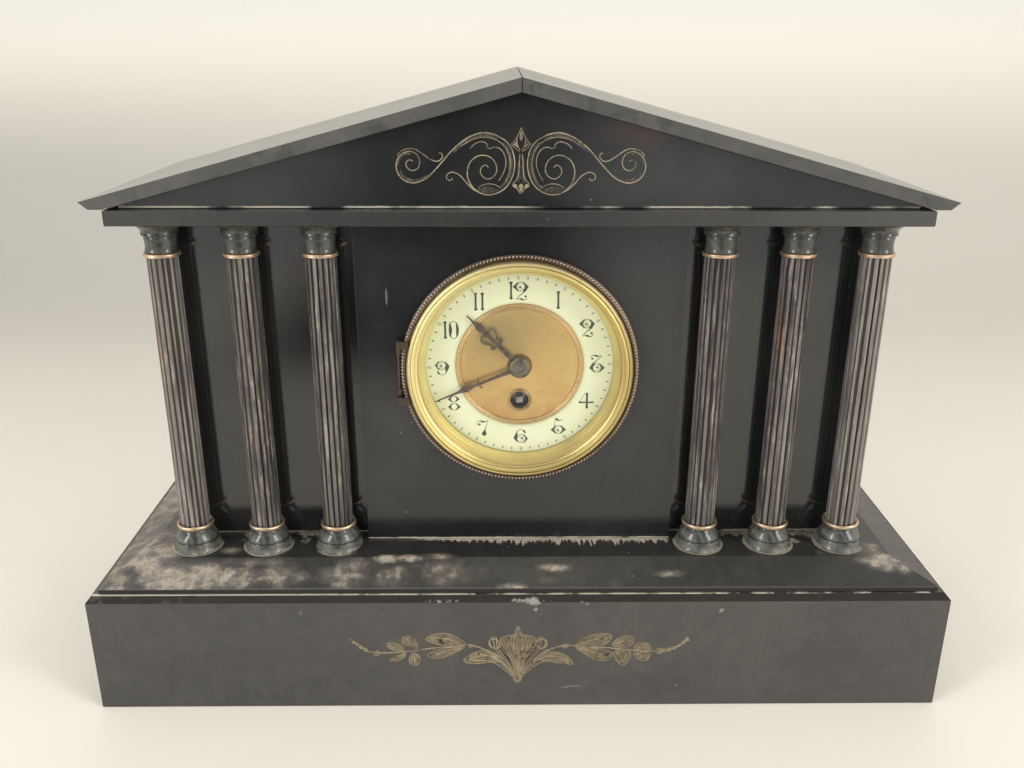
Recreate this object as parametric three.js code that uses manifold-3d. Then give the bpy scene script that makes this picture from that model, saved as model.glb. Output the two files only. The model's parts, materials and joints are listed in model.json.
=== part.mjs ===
// Black slate mantel clock with a temple front, in millimetres.
// X runs to the right, Y from the front to the back and Z up, as seen by someone who faces the dial.
// Inside the model Y is counted from the plinth's front face. The last lines move the origin to the
// middle of the plinth's underside.

import * as THREE from 'three';
import { mergeVertices } from 'three/addons/utils/BufferGeometryUtils.js';
import Module from 'manifold-3d';

const wasm = await Module();
wasm.setup();

// Fits
const seam = 0.3; // plaster seam between bedded slabs, and the gap between pieces that bear on each other
const runningClearance = 0.15; // round a pivot in its hole
const overrun = 1; // how far a cutter runs past what it cuts
const weldTolerance = 1e-4;

// Columns, three at each side of the dial block. The case's widths follow outwards from them
const dialBlock = { width: 148, thickness: 15, setback: 4.45, projection: 7 };
const columns = { perSide: 3, fromBlock: 13.35, spacing: 34.35, footMargin: 1.65, endMargin: 3.95 };
const columnBase = { radius: 11.2, height: 10.3 };
const columnShaft = {
  bottomRadius: 7, topRadius: 6.8, flutes: 16, fluteDepth: 0.9, collarRadius: 7.8, collarHeight: 1.5,
};
const columnCapital = { radius: 10.5, height: 12.5 };

// Case
const body = { height: 156.8, wall: 8, backSetback: 5 };
const plinth = {
  sideReach: 40, depth: 155, height: 57.4, bevelRise: 3, bevelRun: 2.6, wall: 12, topThickness: 10,
};
const step = {
  sideInset: 5.7, frontInset: 2.6, edge: 2.8, arris: 0.5, slopeRise: 6.6, slopeRun: 17.1,
};
const entablature = { sideReach: 14.9, thickness: 6.7, overhang: 1.05, backOverhang: 3, arris: 0.4 };
const roof = { eaves: 9.6, rise: 49.85, thickness: 5.7, tipHeight: 3.2, undercut: 3.9 };
const gable = { thickness: 8, setback: 5, endHeight: 1 };

// Dial and bezel, round the dial's axis
const dial = { aboveMiddle: 9.2, windingDrop: 17.2 };
const mount = {
  radius: 54.7, beadRadius: 1.5, beadLift: 0.6, flange: 1.2, sleeveRadius: 49.8, sleeveWall: 1.4,
  sleeveReach: 23, boreClearance: 0.3,
};
const bezel = { radius: 52.1, height: 3.5, lipRadius: 46.9, lipThickness: 0.4 };
const glass = { radius: 48.1, thickness: 1.1, bevel: 1.1, bevelDepth: 0.4 };
const sightRing = { innerRadius: 43.8, wall: 0.8 };
const chapterRing = { innerRadius: 29.9, radius: 45.6, thickness: 1, depth: 6.5 };
const pan = {
  radius: 48, thickness: 1.4, centreDepth: 0.35, rimRadius: 29.6, rimWidth: 2, rimHeight: 1.1,
  pipeHole: 3, footRadius: 1.5, footCircle: 33, feet: 3,
};
const eyelet = { holeRadius: 4.3, radius: 5.3, height: 0.8 };
const hinge = { pinRadius: 0.5, knuckleRadius: 1, knuckleLength: 3.5, fixedOffset: 8.2, pinReach: 15.5 };
const bezelHinge = { outset: 0.8, armThickness: 1.1, armInset: 7 };
const hourHand = { length: 34.8, thickness: 0.7, bossRadius: 4.1, bore: 2.5 };
const minuteHand = { length: 43.2, thickness: 0.7, hubRadius: 5, hubHeight: 2.4 };
const handDegrees = { hour: 315.3, minute: 246.8 }; // clockwise from twelve

// Movement
const plates = { radius: 38, thickness: 2, spacing: 26, pillarRadius: 2.2, pillarCircle: 33, pillars: 4 };
const motionSpace = 4.8; // between the dial pan and the front plate
const arborRadius = { centre: 0.65, train: 0.45, minute: 0.7, winding: 2, pallets: 0.8 };
const teeth = {
  barrel: 48, intermediatePinion: 8, intermediate: 48, centrePinion: 8, centre: 72, thirdPinion: 6,
  third: 72, escapePinion: 6, escape: 40, cannon: 8, minute: 24, minutePinion: 8, hour: 32, ratchet: 16,
};
const pitchRadius = { barrel: 14, intermediate: 10.8, centre: 10.8, third: 10.08, minute: 9, hour: 9.6 };
const wheelThickness = 1;
const pinionLength = 2.4;
const barrelDrum = { radius: 12.6, length: 12.8 };
const escapement = { wheelRadius: 8, toothDepth: 1.4, armWidth: 2, nib: 1.6, swing: 4, thickness: 1.6 };
const ratchet = { radius: 6, toothDepth: 0.9, thickness: 1.2, squareWidth: 3, squareLength: 4.6 };
const click = {
  pivotX: 8.4, pivotDrop: 5.5, bossRadius: 1.6, tipWidth: 0.9, pinRadius: 0.7, clearance: 0.3,
};
const crutch = { length: 22, width: 2.4, thickness: 1, tine: 0.9, grip: 1.15, standoff: 1.2 };
const cock = {
  thickness: 2, width: 8, standoff: 3.5, postRadius: 1.8, postSpread: 11, postRise: 6, studWidth: 6,
};
const pendulum = {
  floorGap: 3.9, rodRadius: 0.8, bobRadius: 11, bobThickness: 5, bobEdge: 1, nutRadius: 2, nutHeight: 2,
  behindCock: 2.6, springTop: 2.2, springWidth: 3.2,
};

// Rear opening
const rearRing = { radius: 51, sleeveRadius: 46.6, sleeveWall: 1.4, flange: 1, sleeveReach: 0.5 };
const rearDoor = {
  radius: 48.5, thickness: 0.8, dish: 0.8, dishRadius: 40, knobRadius: 2.2, knobHeight: 1.2,
};
const rearHinge = { pinRadius: 0.5, knuckleRadius: 1.1, halfLength: 4, fixedLength: 3.7, outset: 1.4 };
const strap = { width: 8, thickness: 1.5, tab: 6.1 };

// Facets
const facets = { ring: 32, rear: 24, turned: 14, small: 8, wheel: 24, stout: 10, arbor: 6 };

const slate = { color: 0x17181a, roughness: 0.3, metalness: 0 };
const turnedSlate = { color: 0x1b1f20, roughness: 0.25, metalness: 0 };
const bronzed = { color: 0x3a2a23, roughness: 0.5, metalness: 0.7 };
const yellowBrass = { color: 0xb9a24a, roughness: 0.3, metalness: 1 };
const darkBronze = { color: 0x5a4a33, roughness: 0.5, metalness: 1 };
const gilt = { color: 0xb98d46, roughness: 0.4, metalness: 1 };
const enamel = { color: 0xe9efc8, roughness: 0.15, metalness: 0 };
const bluedSteel = { color: 0x2a2522, roughness: 0.45, metalness: 0.8 };
const steel = { color: 0x8d8f92, roughness: 0.35, metalness: 1 };
const clearGlass = { color: 0xf2f6f5, roughness: 0.05, metalness: 0, transparent: true, opacity: 0.2 };

// Levels and depths that several pieces share
const plinthTop = plinth.height + plinth.bevelRise;
const stepBottom = plinthTop + seam;
const platformZ = stepBottom + step.edge + step.slopeRise;
const bodyBottom = platformZ + seam;
const bodyTop = bodyBottom + body.height;
const entablatureBottom = bodyTop + seam;
const entablatureTop = entablatureBottom + entablature.thickness;
const bedZ = entablatureTop + seam;
const columnY = step.frontInset + step.slopeRun + columnBase.radius + columns.footMargin;
const blockFace = columnY + dialBlock.setback;
const blockBack = blockFace + dialBlock.thickness;
const panelFace = blockFace + dialBlock.projection;
const backFace = plinth.depth - body.backSetback;
const backInner = backFace - body.wall;
const entablatureFront = columnY - columnCapital.radius - entablature.overhang;
const roofBack = backFace + entablature.backOverhang;
const halfBlock = dialBlock.width / 2;
const firstColumn = halfBlock + columns.fromBlock;
const halfBody = firstColumn + (columns.perSide - 1) * columns.spacing + columns.endMargin;
const halfPlinth = halfBody + plinth.sideReach;
const halfEntablature = halfBody + entablature.sideReach;
const halfRoof = halfEntablature + roof.eaves;

const dialZ = bodyBottom + body.height / 2 + dial.aboveMiddle;
const flangeFront = blockFace - seam - mount.flange;
const sleeveBore = mount.sleeveRadius - mount.sleeveWall;
const bezelBack = flangeFront - seam;
const glassBack = bezelBack - seam;
const chapterFace = blockFace + chapterRing.depth;
const panSeat = chapterFace + chapterRing.thickness + seam;
const panBack = panSeat + pan.thickness;
const panFace = chapterFace + pan.centreDepth;
const frontPlateFace = panBack + motionSpace;
const frontPlateBack = frontPlateFace + plates.thickness;
const backPlateFace = frontPlateBack + plates.spacing;
const backPlateBack = backPlateFace + plates.thickness;

// Arbor places round the dial's axis, as [x, z] from it
const centreArbor = [0, 0];
const windingArbor = [0, -dial.windingDrop];
const intermediateArbor = meshPoint(
  windingArbor, meshDistance('barrel', 'intermediatePinion'),
  centreArbor, meshDistance('intermediate', 'centrePinion'), -1,
);
const thirdArbor = polar(meshDistance('centre', 'thirdPinion'), Math.PI / 4).toArray();
const escapeArbor = [0, thirdArbor[1] + Math.sqrt(
  meshDistance('third', 'escapePinion') ** 2 - thirdArbor[0] ** 2,
)];
const palletReach = escapement.wheelRadius * Math.SQRT2;
const palletArbor = [0, escapeArbor[1] + palletReach];
const minuteArbor = polar(meshDistance('minute', 'cannon'), 3 * Math.PI / 4).toArray();

// A pinion's pitch radius follows from the wheel that it meshes with
function pinionRadius(wheelName, pinionName) {
  return pitchRadius[wheelName] * teeth[pinionName] / teeth[wheelName];
}

function meshDistance(wheelName, pinionName) {
  return pitchRadius[wheelName] + pinionRadius(wheelName, pinionName);
}

// The point at distance a from one centre and b from another that stands straight above it
function meshPoint(lower, a, upper, b, side) {
  const apart = upper[1] - lower[1];
  const rise = (a * a - b * b + apart * apart) / (2 * apart);
  return [side * Math.sqrt(a * a - rise * rise), lower[1] + rise];
}

// Solids: every geometry below is closed, so it can be joined and cut
function toManifold(geometry) {
  const bare = geometry.clone();
  bare.deleteAttribute('normal');
  bare.deleteAttribute('uv');
  const merged = mergeVertices(bare, weldTolerance);
  let triangles = Uint32Array.from(merged.index.array);
  const positions = merged.attributes.position.array;
  if (signedVolume(positions, triangles) < 0) triangles = triangles.reverse();
  const vertProperties = Float32Array.from(positions);
  const mesh = new wasm.Mesh({ numProp: 3, vertProperties, triVerts: triangles });
  return new wasm.Manifold(mesh);
}

function signedVolume(positions, triangles) {
  const corner = [new THREE.Vector3(), new THREE.Vector3(), new THREE.Vector3()];
  let total = 0;
  for (let i = 0; i < triangles.length; i += 3) {
    corner.forEach((point, k) => point.fromArray(positions, 3 * triangles[i + k]));
    total += corner[0].dot(corner[1].cross(corner[2]));
  }
  return total;
}

function toGeometry(solid) {
  const mesh = solid.getMesh();
  const geometry = new THREE.BufferGeometry();
  geometry.setAttribute('position', new THREE.BufferAttribute(Float32Array.from(mesh.vertProperties), 3));
  geometry.setIndex(new THREE.BufferAttribute(Uint32Array.from(mesh.triVerts), 1));
  geometry.computeVertexNormals();
  return geometry;
}

function join(...geometries) {
  return toGeometry(geometries.map(toManifold).reduce((sum, next) => sum.add(next)));
}

function cut(base, ...tools) {
  return toGeometry(tools.map(toManifold).reduce((rest, tool) => rest.subtract(tool), toManifold(base)));
}

// A box between two corners
function box([x0, y0, z0], [x1, y1, z1]) {
  return new THREE.BoxGeometry(x1 - x0, y1 - y0, z1 - z0)
    .translate((x0 + x1) / 2, (y0 + y1) / 2, (z0 + z1) / 2);
}

// A convex body through level rectangles, each { x0, x1, y0, y1, z }
function stackedRectangles(levels) {
  const positions = levels.flatMap(({ x0, x1, y0, y1, z }) => [x0, y0, z, x1, y0, z, x1, y1, z, x0, y1, z]);
  return skin(positions, levels.length, 4);
}

// Closes a stack of loops with the same number of points into one body
function skin(positions, loops, count) {
  const index = [];
  for (let level = 0; level < loops - 1; level++) {
    for (let i = 0; i < count; i++) {
      const a = level * count + i;
      const b = level * count + (i + 1) % count;
      index.push(a, b, b + count, a, b + count, a + count);
    }
  }
  const top = (loops - 1) * count;
  for (let i = 1; i < count - 1; i++) {
    index.push(0, i + 1, i, top, top + i, top + i + 1);
  }
  const geometry = new THREE.BufferGeometry();
  geometry.setAttribute('position', new THREE.Float32BufferAttribute(positions, 3));
  geometry.setIndex(index);
  return geometry;
}

// A plate in the plane of the dial, from a shape drawn as seen from the front
function plate(shape, front, back) {
  return new THREE.ExtrudeGeometry(shape, { depth: back - front, bevelEnabled: false, curveSegments: 4 })
    .rotateX(Math.PI / 2)
    .translate(0, back, 0);
}

// Turned round the dial's axis or one beside it. The profile is [radius, depth]
function turned(profile, segments, [x, z] = centreArbor) {
  const points = profile.map(([radius, depth]) => new THREE.Vector2(radius, depth));
  return new THREE.LatheGeometry(points, segments).translate(x, 0, dialZ + z);
}

function ringProfile(inner, outer, front, back) {
  return [[inner, front], [outer, front], [outer, back], [inner, back], [inner, front]];
}

function rodProfile(radius, front, back) {
  return [[0, front], [radius, front], [radius, back], [0, back]];
}

// A stout arbor needs more facets than a thin one to turn freely in its hole
function arborFacets(radius) {
  return radius < 1 ? facets.arbor : facets.stout;
}

function arbor(radius, front, back, at) {
  return turned(rodProfile(radius, front, back), arborFacets(radius), at);
}

// Turned round an upright axis. The profile is [radius, height]
function upright(profile, segments, x, y, z) {
  const points = profile.map(([radius, height]) => new THREE.Vector2(radius, height));
  return new THREE.LatheGeometry(points, segments).rotateX(Math.PI / 2).translate(x, y, z);
}

function uprightRod(radius, x, y, z0, z1) {
  return upright(rodProfile(radius, z0, z1), facets.small, x, y, 0);
}

function polar(radius, angle) {
  return new THREE.Vector2(radius * Math.cos(angle), radius * Math.sin(angle));
}

function circlePoints(radius, count, phase = 0) {
  return Array.from({ length: count }, (_, i) => polar(radius, phase + 2 * Math.PI * i / count));
}

// Pointed teeth that mesh with clearance at any angle: one tooth tip stands at the given phase
const addendumShare = 0.7;
const dedendumShare = 1.3;

function rootRadius(count, radius) {
  return radius * (1 - 2 * dedendumShare / count);
}

function toothedShape(count, radius, phase) {
  const tip = radius * (1 + 2 * addendumShare / count);
  const root = rootRadius(count, radius);
  return new THREE.Shape(Array.from(
    { length: 2 * count }, (_, i) => polar(i % 2 ? root : tip, phase + Math.PI * i / count),
  ));
}

// Openings between the spokes of a wheel
const wheelRim = { rim: 1.2, hub: 2.2, spokeWidth: 1.2, spokes: 4 };

function crossings(shape, toothRoot) {
  const outer = toothRoot - wheelRim.rim;
  const half = Math.PI / wheelRim.spokes;
  const outerHalf = half - wheelRim.spokeWidth / 2 / outer;
  const innerHalf = half - wheelRim.spokeWidth / 2 / wheelRim.hub;
  for (let i = 0; i < wheelRim.spokes; i++) {
    const middle = 2 * Math.PI * (i + 0.5) / wheelRim.spokes;
    shape.holes.push(new THREE.Path([
      polar(outer, middle - outerHalf), polar(outer, middle), polar(outer, middle + outerHalf),
      polar(wheelRim.hub, middle + innerHalf), polar(wheelRim.hub, middle - innerHalf),
    ]));
  }
  return shape;
}

// A crossed-out wheel of the train
function wheel(name, phase, front, at) {
  const count = teeth[name];
  const radius = pitchRadius[name];
  const shape = crossings(toothedShape(count, radius, phase), rootRadius(count, radius));
  return plate(shape, front, front + wheelThickness).translate(at[0], 0, dialZ + at[1]);
}

// A solid toothed disc: a pinion's leaves, or a small wheel without spokes
function toothedDisc(count, radius, phase, front, back, at) {
  return plate(toothedShape(count, radius, phase), front, back).translate(at[0], 0, dialZ + at[1]);
}

function direction(from, to) {
  return Math.atan2(to[1] - from[1], to[0] - from[0]);
}

// The phase of a wheel whose gap faces the tooth of its partner
function gapPhase(from, to, count) {
  return direction(from, to) + Math.PI / count;
}

const clock = new THREE.Group();

function add(name, geometry, finish) {
  const mesh = new THREE.Mesh(geometry, new THREE.MeshStandardMaterial(finish));
  mesh.name = name;
  clock.add(mesh);
  return mesh;
}

// Plinth: bevelled along its front and sides, hollow from below
function plinthBlock() {
  const level = (z, inset) => ({
    x0: -halfPlinth + inset, x1: halfPlinth - inset, y0: inset, y1: plinth.depth, z,
  });
  const outside = stackedRectangles([
    level(0, 0), level(plinth.height, 0), level(plinthTop, plinth.bevelRun),
  ]);
  const inner = halfPlinth - plinth.wall;
  return cut(outside, box(
    [-inner, plinth.wall, -overrun], [inner, plinth.depth - plinth.wall, plinthTop - plinth.topThickness],
  ));
}

// The slab on it slopes up to the platform of the columns
function plinthSlab() {
  const half = halfPlinth - step.sideInset;
  const level = (z, inset) => ({
    x0: -half + inset, x1: half - inset, y0: step.frontInset + inset, y1: plinth.depth, z,
  });
  const edgeTop = stepBottom + step.edge;
  return stackedRectangles([
    level(stepBottom, step.arris), level(stepBottom + step.arris, 0),
    level(edgeTop - step.arris, 0), level(edgeTop, step.arris), level(platformZ, step.slopeRun),
  ]);
}

add('plinth_block', plinthBlock(), slate);
add('plinth_slab', plinthSlab(), slate);

// Body: slabs on edge round the space of the movement
const boreRadius = mount.sleeveRadius + mount.boreClearance;
add('dial_block', cut(
  box([-halfBlock, blockFace, bodyBottom], [halfBlock, blockBack, bodyTop]),
  turned(rodProfile(boreRadius, blockFace - overrun, blockBack + overrun), facets.ring),
), slate);

for (const [side, sign] of [['left', -1], ['right', 1]]) {
  const span = (from, to) => [sign * from, sign * to].sort((a, b) => a - b);
  const [panelX0, panelX1] = span(halfBlock + seam, halfBody);
  const [wallX0, wallX1] = span(halfBody - body.wall, halfBody);
  const panelBack = panelFace + body.wall;
  add(`front_panel_${side}`, box([panelX0, panelFace, bodyBottom], [panelX1, panelBack, bodyTop]), slate);
  add(`side_wall_${side}`, box(
    [wallX0, panelBack + seam, bodyBottom], [wallX1, backInner - seam, bodyTop],
  ), slate);
}

const rearBore = rearRing.sleeveRadius + mount.boreClearance;
add('back_wall', cut(
  box([-halfBody, backInner, bodyBottom], [halfBody, backFace, bodyTop]),
  turned(rodProfile(rearBore, backInner - overrun, backFace + overrun), facets.rear),
), slate);

// Entablature and roof
function entablatureSlab() {
  const level = (z, inset) => ({
    x0: -halfEntablature + inset, x1: halfEntablature - inset,
    y0: entablatureFront + inset, y1: roofBack - inset, z,
  });
  return stackedRectangles([
    level(entablatureBottom, entablature.arris), level(entablatureBottom + entablature.arris, 0),
    level(entablatureTop - entablature.arris, 0), level(entablatureTop, entablature.arris),
  ]);
}

add('entablature', entablatureSlab(), slate);

const tipZ = bedZ + roof.tipHeight;
const ridgeZ = tipZ + roof.rise;
const roofSlope = roof.rise / halfRoof;
const roofDrop = roof.thickness * Math.hypot(1, roofSlope);
const underRidgeZ = ridgeZ - roofDrop;

function roofSlab(sign) {
  const mitre = seam / 2;
  const outline = [
    [mitre, ridgeZ - roofSlope * mitre], [halfRoof, tipZ], [halfRoof - roof.undercut, bedZ],
    [(underRidgeZ - bedZ) / roofSlope, bedZ], [mitre, underRidgeZ - roofSlope * mitre],
  ];
  const shape = new THREE.Shape(outline.map(([x, z]) => new THREE.Vector2(sign * x, z)));
  return plate(shape, entablatureFront, roofBack);
}

function gableShape() {
  const top = underRidgeZ - seam * Math.hypot(1, roofSlope);
  const end = (top - bedZ - gable.endHeight) / roofSlope;
  return new THREE.Shape([
    [-end, bedZ], [end, bedZ], [end, bedZ + gable.endHeight], [0, top], [-end, bedZ + gable.endHeight],
  ].map(([x, z]) => new THREE.Vector2(x, z)));
}

const tympanumFace = entablatureFront + gable.setback;
add('tympanum', plate(gableShape(), tympanumFace, tympanumFace + gable.thickness), slate);
add('rear_gable', plate(gableShape(), backFace - gable.thickness, backFace), slate);
add('roof_slab_left', roofSlab(-1), slate);
add('roof_slab_right', roofSlab(1), slate);

// Columns, numbered from left to right. Turned outlines are [radius, height] shares of the piece
const baseShares = [
  [0, 0], [1, 0], [0.92, 0.42], [0.87, 0.46], [0.91, 0.5], [0.85, 0.75], [0.72, 0.95], [0.6, 1], [0, 1],
];
const capitalShares = [
  [0, 0], [0.68, 0], [0.73, 0.25], [0.67, 0.6], [0.82, 0.63], [0.85, 0.7], [0.97, 0.87], [1, 1], [0, 1],
];

function turnedFromShares(shares, { radius, height }, x, z) {
  return upright(shares.map(([r, h]) => [r * radius, h * height]), facets.turned, x, columnY, z);
}

// Fluted shaft with a collar at each end, as one stack of loops with two points to a flute
function shaft(x, z0, z1) {
  const { flutes, fluteDepth, collarRadius, collarHeight, bottomRadius, topRadius } = columnShaft;
  const count = 2 * flutes;
  const low = z0 + collarHeight;
  const high = z1 - collarHeight;
  const levels = [
    [z0, collarRadius, 0], [low, collarRadius, 0], [low, bottomRadius, fluteDepth],
    [high, topRadius, fluteDepth], [high, collarRadius, 0], [z1, collarRadius, 0],
  ];
  const level = ([z, radius, depth]) => circlePoints(radius, count).flatMap((point, i) => {
    const scale = i % 2 ? 1 - depth / radius : 1;
    return [x + point.x * scale, columnY + point.y * scale, z];
  });
  const positions = levels.flatMap(level);
  return skin(positions, levels.length, count);
}

const shaftBottom = bodyBottom + columnBase.height + seam;
const capitalBottom = bodyTop - columnCapital.height;
const columnPlaces = [];
for (let i = 0; i < columns.perSide; i++) {
  const x = firstColumn + i * columns.spacing;
  columnPlaces.push(-x, x);
}
columnPlaces.sort((a, b) => a - b);
columnPlaces.forEach((x, i) => {
  const number = i + 1;
  add(`column_base_${number}`, turnedFromShares(baseShares, columnBase, x, bodyBottom), turnedSlate);
  add(`column_shaft_${number}`, shaft(x, shaftBottom, capitalBottom - seam), bronzed);
  const capital = turnedFromShares(capitalShares, columnCapital, x, capitalBottom);
  add(`column_capital_${number}`, capital, turnedSlate);
});

// Bezel mount: beaded ring on the block's face, with the sleeve that holds the dial and carries the straps
const beadRadius = mount.radius - mount.beadRadius;
const beadY = flangeFront - mount.beadLift;
const sleeveBack = flangeFront + mount.sleeveReach;
const beadSteps = 3;

function bezelMount() {
  const bead = Array.from({ length: beadSteps + 1 }, (_, i) => {
    const angle = Math.PI * (1 - i / beadSteps);
    return [beadRadius + mount.beadRadius * Math.cos(angle), beadY - mount.beadRadius * Math.sin(angle)];
  });
  const flangeBack = flangeFront + mount.flange;
  const profile = [
    [sleeveBore, flangeFront], [beadRadius - mount.beadRadius, flangeFront], ...bead,
    [mount.radius, flangeBack], [mount.sleeveRadius, flangeBack], [mount.sleeveRadius, sleeveBack],
    [sleeveBore, sleeveBack], [sleeveBore, flangeFront],
  ];
  const lugInner = beadRadius - mount.beadRadius / 2;
  const parts = [turned(profile, facets.ring)];
  const holes = [];
  for (const z of knuckleSpans(hinge.fixedOffset)) {
    const holeEnds = [z[0] - overrun, z[1] + overrun];
    parts.push(uprightRod(hinge.knuckleRadius, hingeX, hingeY, ...z));
    parts.push(box([hingeX, hingeY, z[0]], [-lugInner, flangeBack, z[1]]));
    holes.push(uprightRod(hinge.pinRadius + runningClearance, hingeX, hingeY, ...holeEnds));
  }
  return cut(join(...parts), ...holes);
}

const hingeX = -(mount.radius + bezelHinge.outset);
const hingeY = beadY - seam;

function knuckleSpans(offset) {
  return [1, -1].map((sign) => [offset, offset + hinge.knuckleLength]
    .map((z) => dialZ + sign * z)
    .sort((a, b) => a - b));
}

// Hinged bezel: a moulded ring with the rebate of its glass. Its outline is [across, forward] shares
const bezelShares = [[0.84, 0], [1, 0.4], [0.98, 0.82], [0.84, 1], [0.5, 0.88], [0, 0.6]];

function hingedBezel() {
  const width = bezel.radius - bezel.lipRadius;
  const rebateRadius = glass.radius + seam;
  const rebateY = glassBack - glass.thickness - seam;
  const moulding = bezelShares.map(([across, forward]) => [
    bezel.lipRadius + across * width, bezelBack - forward * bezel.height,
  ]);
  const profile = [
    [rebateRadius, bezelBack], ...moulding, [bezel.lipRadius, rebateY], [rebateRadius, rebateY],
    [rebateRadius, bezelBack],
  ];
  const armFront = beadY - mount.beadRadius - seam - bezelHinge.armThickness;
  const parts = [turned(profile, facets.ring)];
  const holes = [];
  for (const z of knuckleSpans(hinge.fixedOffset + hinge.knuckleLength + seam)) {
    const armX = hingeX - hinge.knuckleRadius;
    const armEnd = [hingeX + bezelHinge.armInset, armFront + bezelHinge.armThickness, z[1]];
    const holeEnds = [z[0] - overrun, z[1] + overrun];
    parts.push(uprightRod(hinge.knuckleRadius, hingeX, hingeY, ...z));
    parts.push(box([armX, armFront, z[0]], armEnd));
    parts.push(box([armX, armFront, z[0]], [hingeX + hinge.knuckleRadius, hingeY, z[1]]));
    holes.push(uprightRod(hinge.pinRadius + runningClearance, hingeX, hingeY, ...holeEnds));
  }
  return cut(join(...parts), ...holes);
}

add('bezel_mount', bezelMount(), darkBronze);
add('bezel', hingedBezel(), yellowBrass);
add('bezel_hinge_pin', uprightRod(
  hinge.pinRadius, hingeX, hingeY, dialZ - hinge.pinReach, dialZ + hinge.pinReach,
), darkBronze);

const glassFront = glassBack - glass.thickness;
add('bezel_glass', turned([
  [0, glassFront], [glass.radius - glass.bevel, glassFront], [glass.radius, glassFront + glass.bevelDepth],
  [glass.radius, glassBack], [0, glassBack],
], facets.ring), clearGlass);

const sightBack = chapterFace - seam;
add('sight_ring', turned([
  [glass.radius - sightRing.wall, bezelBack], [glass.radius, bezelBack],
  [glass.radius, bezelBack + sightRing.wall], [sightRing.innerRadius + sightRing.wall, sightBack],
  [sightRing.innerRadius, sightBack], [glass.radius - sightRing.wall, bezelBack],
], facets.ring), yellowBrass);

add('chapter_ring', turned(ringProfile(
  chapterRing.innerRadius, chapterRing.radius, chapterFace, chapterFace + chapterRing.thickness,
), facets.ring), enamel);

// Dial pan: gilt centre with a raised rim, the seat of the chapter ring and the eyelet for the key
function dialPan() {
  const { rimRadius, rimWidth, rimHeight, pipeHole } = pan;
  const disc = turned([
    [pipeHole, panFace], [rimRadius - rimWidth, panFace], [rimRadius - rimWidth / 2, panFace - rimHeight],
    [rimRadius, panFace - rimHeight / 2], [rimRadius, panSeat], [pan.radius, panSeat],
    [pan.radius, panBack], [pipeHole, panBack], [pipeHole, panFace],
  ], facets.ring);
  const lip = panFace - eyelet.height;
  const collet = turned(rodProfile(eyelet.radius, lip, panBack), facets.turned, windingArbor);
  const bore = rodProfile(eyelet.holeRadius, lip - overrun, panBack + overrun);
  const hole = turned(bore, facets.turned, windingArbor);
  const footEnds = [panBack - pan.thickness / 2, frontPlateFace - seam];
  const feet = circlePoints(pan.footCircle, pan.feet, Math.PI / 2)
    .map((point) => arbor(pan.footRadius, ...footEnds, point.toArray()));
  return cut(join(disc, collet, ...feet), hole);
}

add('dial_pan', dialPan(), gilt);

// Hands, drawn at twelve as [across, along] shares of their length
const hourBladeShares = [
  [0.045, 0.1], [0.028, 0.3], [0.05, 0.36], [0.125, 0.4], [0.15, 0.5], [0.115, 0.58], [0.05, 0.6],
  [0.05, 0.66], [0.085, 0.76], [0.03, 0.86], [0.012, 0.97], [0, 1],
];
const hourPiercingShares = [[0.035, 0.42], [0.095, 0.44], [0.115, 0.5], [0.09, 0.55], [0.04, 0.56]];
const minuteBladeShares = [
  [0.03, 0.1], [0.02, 0.4], [0.04, 0.43], [0.045, 0.46], [0.02, 0.49], [0.02, 0.54], [0.045, 0.62],
  [0.02, 0.74], [0.008, 0.9], [0, 1],
];

function symmetricShape(shares, length) {
  const right = shares.map(([across, along]) => new THREE.Vector2(across * length, along * length));
  const left = right.filter((point) => point.x > 0).map((point) => new THREE.Vector2(-point.x, point.y));
  return new THREE.Shape([...right, ...left.reverse()]);
}

function handBlade(shares, piercings, { length, thickness }, degrees, front) {
  const shape = symmetricShape(shares, length);
  for (const sign of piercings.length ? [1, -1] : []) {
    shape.holes.push(new THREE.Path(piercings.map(
      ([across, along]) => new THREE.Vector2(sign * across * length, along * length),
    )));
  }
  return plate(shape, front, front + thickness)
    .rotateY(THREE.MathUtils.degToRad(degrees))
    .translate(0, 0, dialZ);
}

const handGap = 0.6;
const pipeWall = 0.6;
const hourFront = panFace - pan.rimHeight - hourHand.thickness - seam;
const minuteFront = hourFront - handGap - minuteHand.thickness;
const minuteBack = minuteFront + minuteHand.thickness;
const pipeRadius = hourHand.bore - seam;

const hourBack = hourFront + hourHand.thickness;

add('hour_hand', cut(
  join(
    handBlade(hourBladeShares, hourPiercingShares, hourHand, handDegrees.hour, hourFront),
    turned(rodProfile(hourHand.bossRadius, hourFront, hourBack), facets.turned),
  ),
  turned(rodProfile(hourHand.bore, hourFront - overrun, hourBack + overrun), facets.turned),
), bluedSteel);

// The minute hand is riveted to its domed collet. Its outline is [radius, height] shares
const hubShares = [[0, 1], [0.45, 0.97], [0.8, 0.75], [0.95, 0.45], [1, 0.3], [1, 0], [0, 0]];
add('minute_hand', join(
  handBlade(minuteBladeShares, [], minuteHand, handDegrees.minute, minuteFront),
  turned(hubShares.map(([radius, height]) => [
    radius * minuteHand.hubRadius, minuteBack - height * minuteHand.hubHeight,
  ]), facets.turned),
), bluedSteel);

// Motion work between the dial pan and the front plate
const layerGap = 0.7;
const hourWheelFront = panBack + layerGap;
const hourWheelBack = hourWheelFront + wheelThickness;
const minuteWheelFront = hourWheelBack + layerGap;
const leafOverlap = 0.25; // how far a pinion's leaves stand past the wheel that they drive
const pipeBore = pipeRadius - pipeWall;
const cannonRadius = pipeBore - runningClearance;
const cannonBore = arborRadius.centre + runningClearance;
const cannonBack = minuteWheelFront + wheelThickness + leafOverlap;
const pipeFront = minuteBack + seam;

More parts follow.
